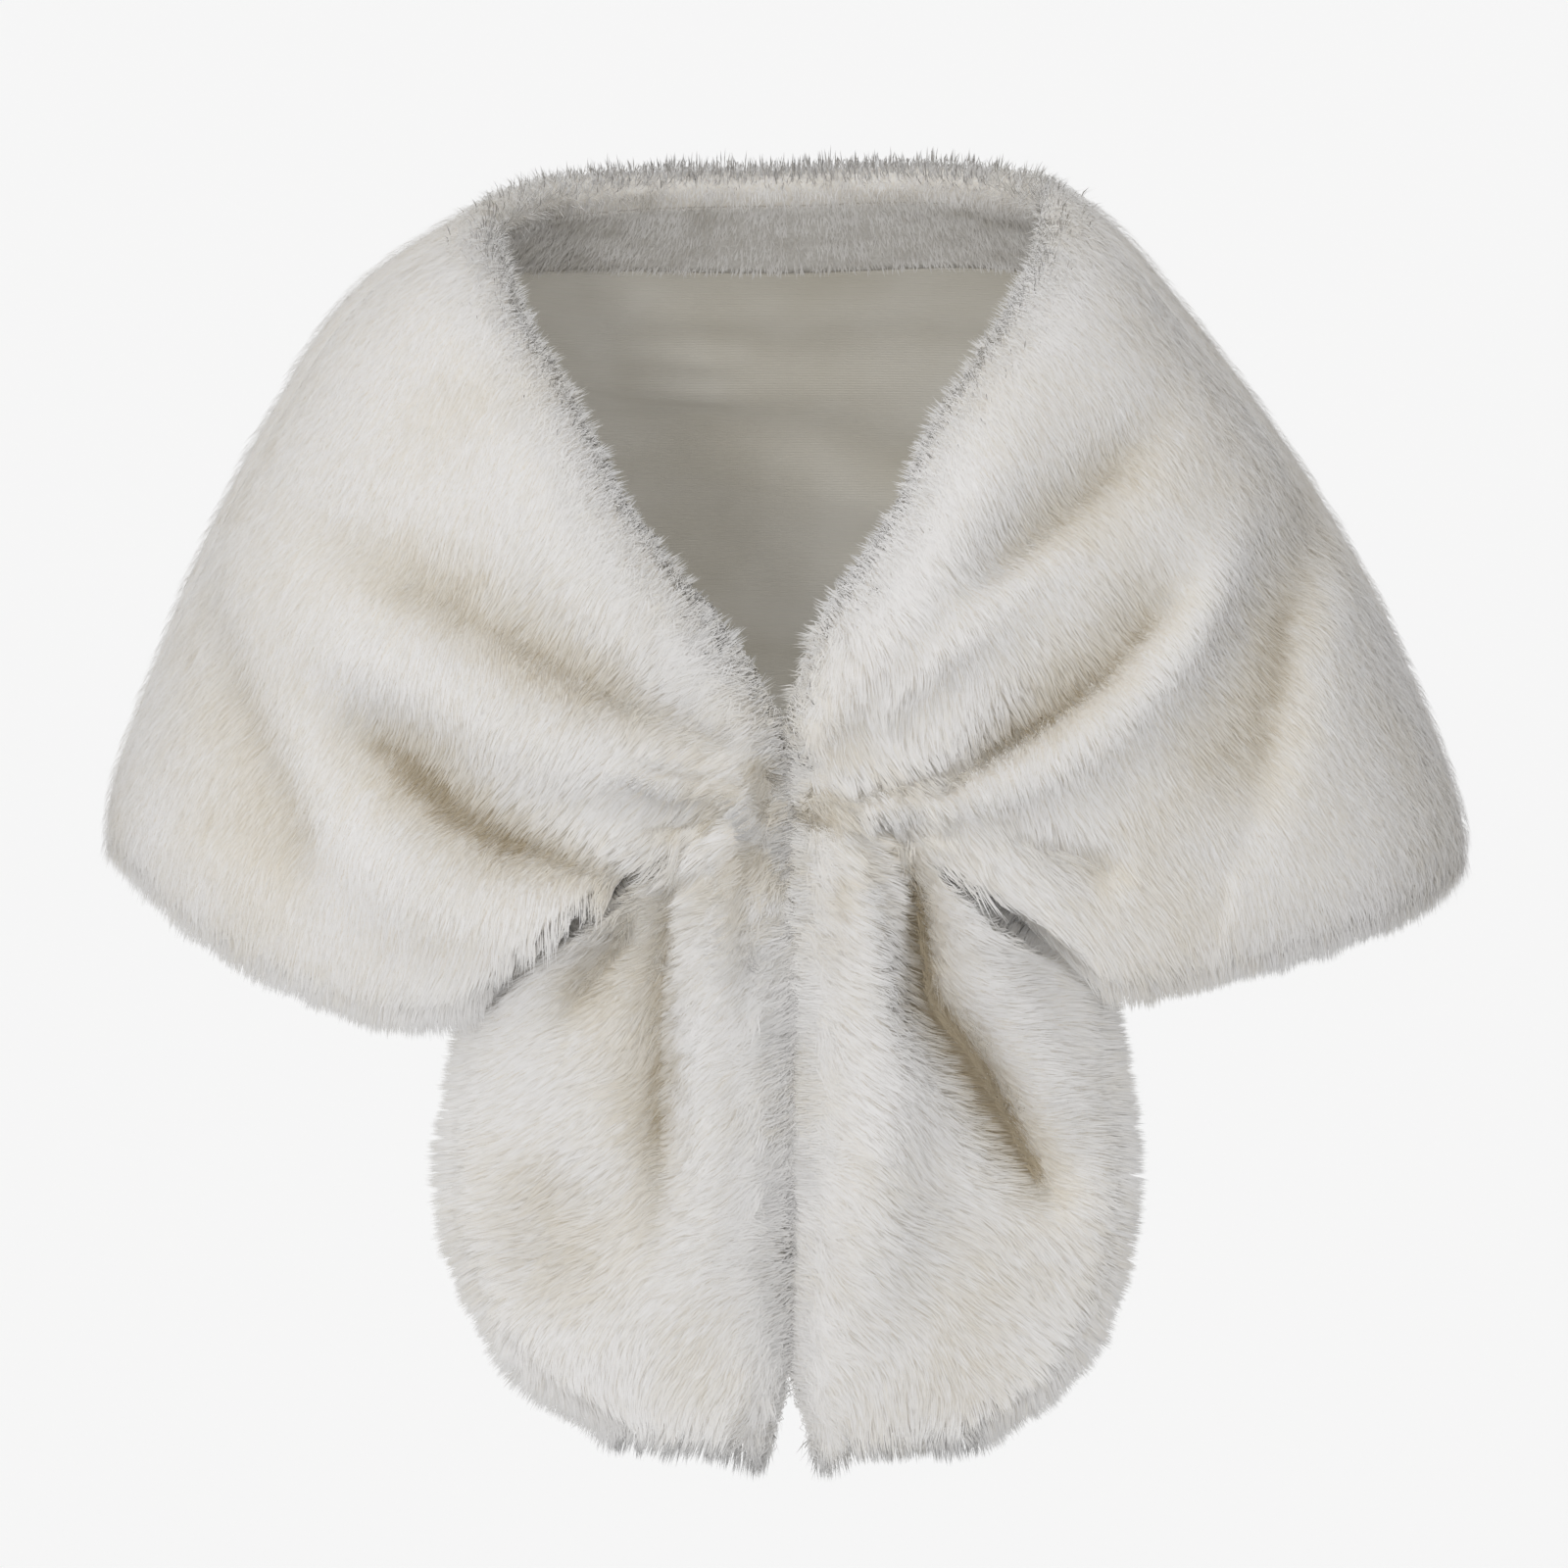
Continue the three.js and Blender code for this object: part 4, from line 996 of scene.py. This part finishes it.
# Rows, columns and the share of the width where the lining starts.
LININGS = {"back": (120, 90, 0.126), "front": (60, 40, 0.012), "tail": (30, 12, 0.012)}
LOOSEST = 6.5
FACING_SPAN = (0.012, 0.125)
FACING_GROUPS, FACING_PER_ROW = 24, 9
PILE_TOP, PILE_LOW = 0.035, 0.118  # shares of the width past the neck edge and below it
PILE_DEPTH = 2.2  # of the facing's inner face under the backing
FACING_RISE, FACING_LENGTH = (0.25, 0.7), (3.5, 6)
FACING_SEED = 51


def skin(name, stretch, span, rows, columns, thickness, material, wrinkle):
    """A thin closed layer under a stretch of the shell, over a span of its width."""
    side, t0, t1, _ = STRETCHES[stretch]
    v = np.linspace(*span, columns)

    def half(one_side, low, high, count):
        t = even_rows(one_side, low, high, count)
        place, out, _ = backing(one_side, t, v)
        lift = folds_at(one_side, t, place, tucks=False) * INNER_SHARE
        top = place + out * (lift - SKIN_GAP - wrinkle(place))[..., None]
        return top, top - out * thickness

    if side is None:
        right, left = half(-1, t0, t1, rows // 2 + 1), half(1, t0, t1, rows // 2 + 1)
        top, low = (np.concatenate([r[:0:-1], l]) for r, l in zip(right, left))
    else:
        top, low = half(side, t0, t1, rows)
    rings = np.concatenate([top, low[:, ::-1]], 1)
    vertices, faces = closed_mesh(rings, (0, columns - 1), winding_sign(rings))
    return smooth_piece(name, vertices, faces, material)


def satin_wrinkles(place):
    """How far the loose lining stands off the shell: soft wrinkles, mostly level."""
    height = place[..., 2]
    slant = height + 0.10 * place[..., 0] + 9 * noise(place, 60, 21)
    wave = np.sin(slant / 3.0) * (0.5 + 0.5 * noise(place, 40, 22))
    wide = np.sin(slant / 6.8 + 1.3)
    amount = smooth(0.6 + noise(place, 70, 23))
    loose = np.where(place[..., 1] < 0, smooth((height + 190) / 40), smooth((-45 - height) / 30))
    return np.clip(0.4 + loose * (2.8 + 1.4 * wave * amount + 2.6 * wide), 0, LOOSEST)


def facing_pile(count, rng):
    """Roots, middles, tips and shading of the short strands on the facing's inner face."""
    rows = count // (2 * FACING_GROUPS * FACING_PER_ROW)
    thick = UNDER_RISE * (1 - thinning(0)) / 2
    groups = []
    for side in [-1] * FACING_GROUPS + [1] * FACING_GROUPS:
        t = np.sort(rng.uniform(0.02, SHOULDER, rows))
        u = np.sort(rng.uniform(-PILE_TOP, PILE_LOW, FACING_PER_ROW))
        v = np.maximum(u, 0)
        past = (np.clip(-u / PILE_TOP, 0, 1) * math.pi / 2)[None, :, None]
        place, out, _ = backing(side, t, v)
        lift = folds_at(side, t, place)[..., None] * INNER_SHARE
        nap = unit(backing(side, t, v + 0.01)[0] - place)
        base = (place + out * (lift - PILE_DEPTH * np.cos(past) + thick * (1 - np.cos(past)))
                - nap * NECK_REACH * np.sin(past))
        facing_out = -out * np.cos(past) - nap * np.sin(past)
        down = nap * np.cos(past) - out * np.sin(past)
        rise = rng.uniform(*FACING_RISE, base.shape[:2])[..., None]
        sway = rng.normal(0, 0.25, base.shape)
        reach = rng.uniform(*FACING_LENGTH, base.shape[:2])[..., None]
        middle = base + reach / 2 * unit(down + facing_out * rise + sway)
        tip = middle + reach / 2 * unit(down + facing_out * rise * 0.3 + sway)
        groups.append([grid.reshape(-1, 3) for grid in (base, middle, tip, facing_out)])
    return [np.concatenate(parts) for parts in zip(*groups)]


for stretch in STRETCHES:
    rows, columns, start = LININGS[kind_of(stretch)]
    piece = skin(f"satin_{stretch}", stretch, (start, HEM_SPAN), rows, columns, LINING, satin,
                 satin_wrinkles)
    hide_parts(f"lining_{stretch}")

facing = skin("facing", "back", FACING_SPAN, 90, 12, FACING, facing_under, lambda place: 0)
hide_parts("neck_facing")
rng = np.random.default_rng(FACING_SEED)
*facing_points, facing_normals = facing_pile(FACING_STRANDS, rng)
facing_tones = (0.5 + 0.25 * noise(facing_points[0] * [1, 1, 2.5], 12, 52)
                + rng.normal(0, 0.12, len(facing_normals)))
facing_strands = strand_pieces("facing_pile", facing_points, facing_normals, facing_tones,
                               FACING_STRAND_WIDTH, facing_fur, rng)

# ---- Clasp ----
for node in ("clasp_hook", "clasp_eye"):
    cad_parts[node].data.materials.clear()
    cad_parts[node].data.materials.append(steel)

# ---- Floor and light ----
FLOOR_HEIGHT, FLOOR_HALF = -850, 30e3
FLOOR_GLOW = 0.32
WORLD_LIGHT = 0.46
WHITE = (1, 1, 1, 1)
floor_paint = plain_material("floor", srgb(246, 246, 246), roughness=0.9)
set_inputs(floor_paint.node_tree.nodes["Principled BSDF"],
           {"Emission Color": WHITE, "Emission Strength": FLOOR_GLOW})
corners = [[x * FLOOR_HALF, y * FLOOR_HALF, FLOOR_HEIGHT]
           for x, y in ((-1, -1), (1, -1), (1, 1), (-1, 1))]
floor = smooth_piece("floor", np.array(corners), [[0, 1, 2, 3]], floor_paint)
floor.visible_diffuse = False  # the floor's own glow stays off the fur

# Name, direction of travel, spread in degrees and strength of each sun.
SUNS = [
    ("key", (0.62, 1.2, -0.52), 12, 0.60),
    ("soft", (0.0, 1.2, -0.6), 110, 0.46),
    ("behind", (0.25, -1.2, -0.35), 100, 0.42),
]
for name, direction, spread, strength in SUNS:
    lamp = bpy.data.lights.new(name, "SUN")
    lamp.energy = strength
    lamp.angle = math.radians(spread)
    look_along(bpy.data.objects.new(name, lamp), Vector(direction))
SCENE.view_settings.view_transform = "Standard"
world = bpy.data.worlds.new("world")
world.use_nodes = True
set_inputs(world.node_tree.nodes["Background"], {"Color": WHITE, "Strength": WORLD_LIGHT})
SCENE.world = world
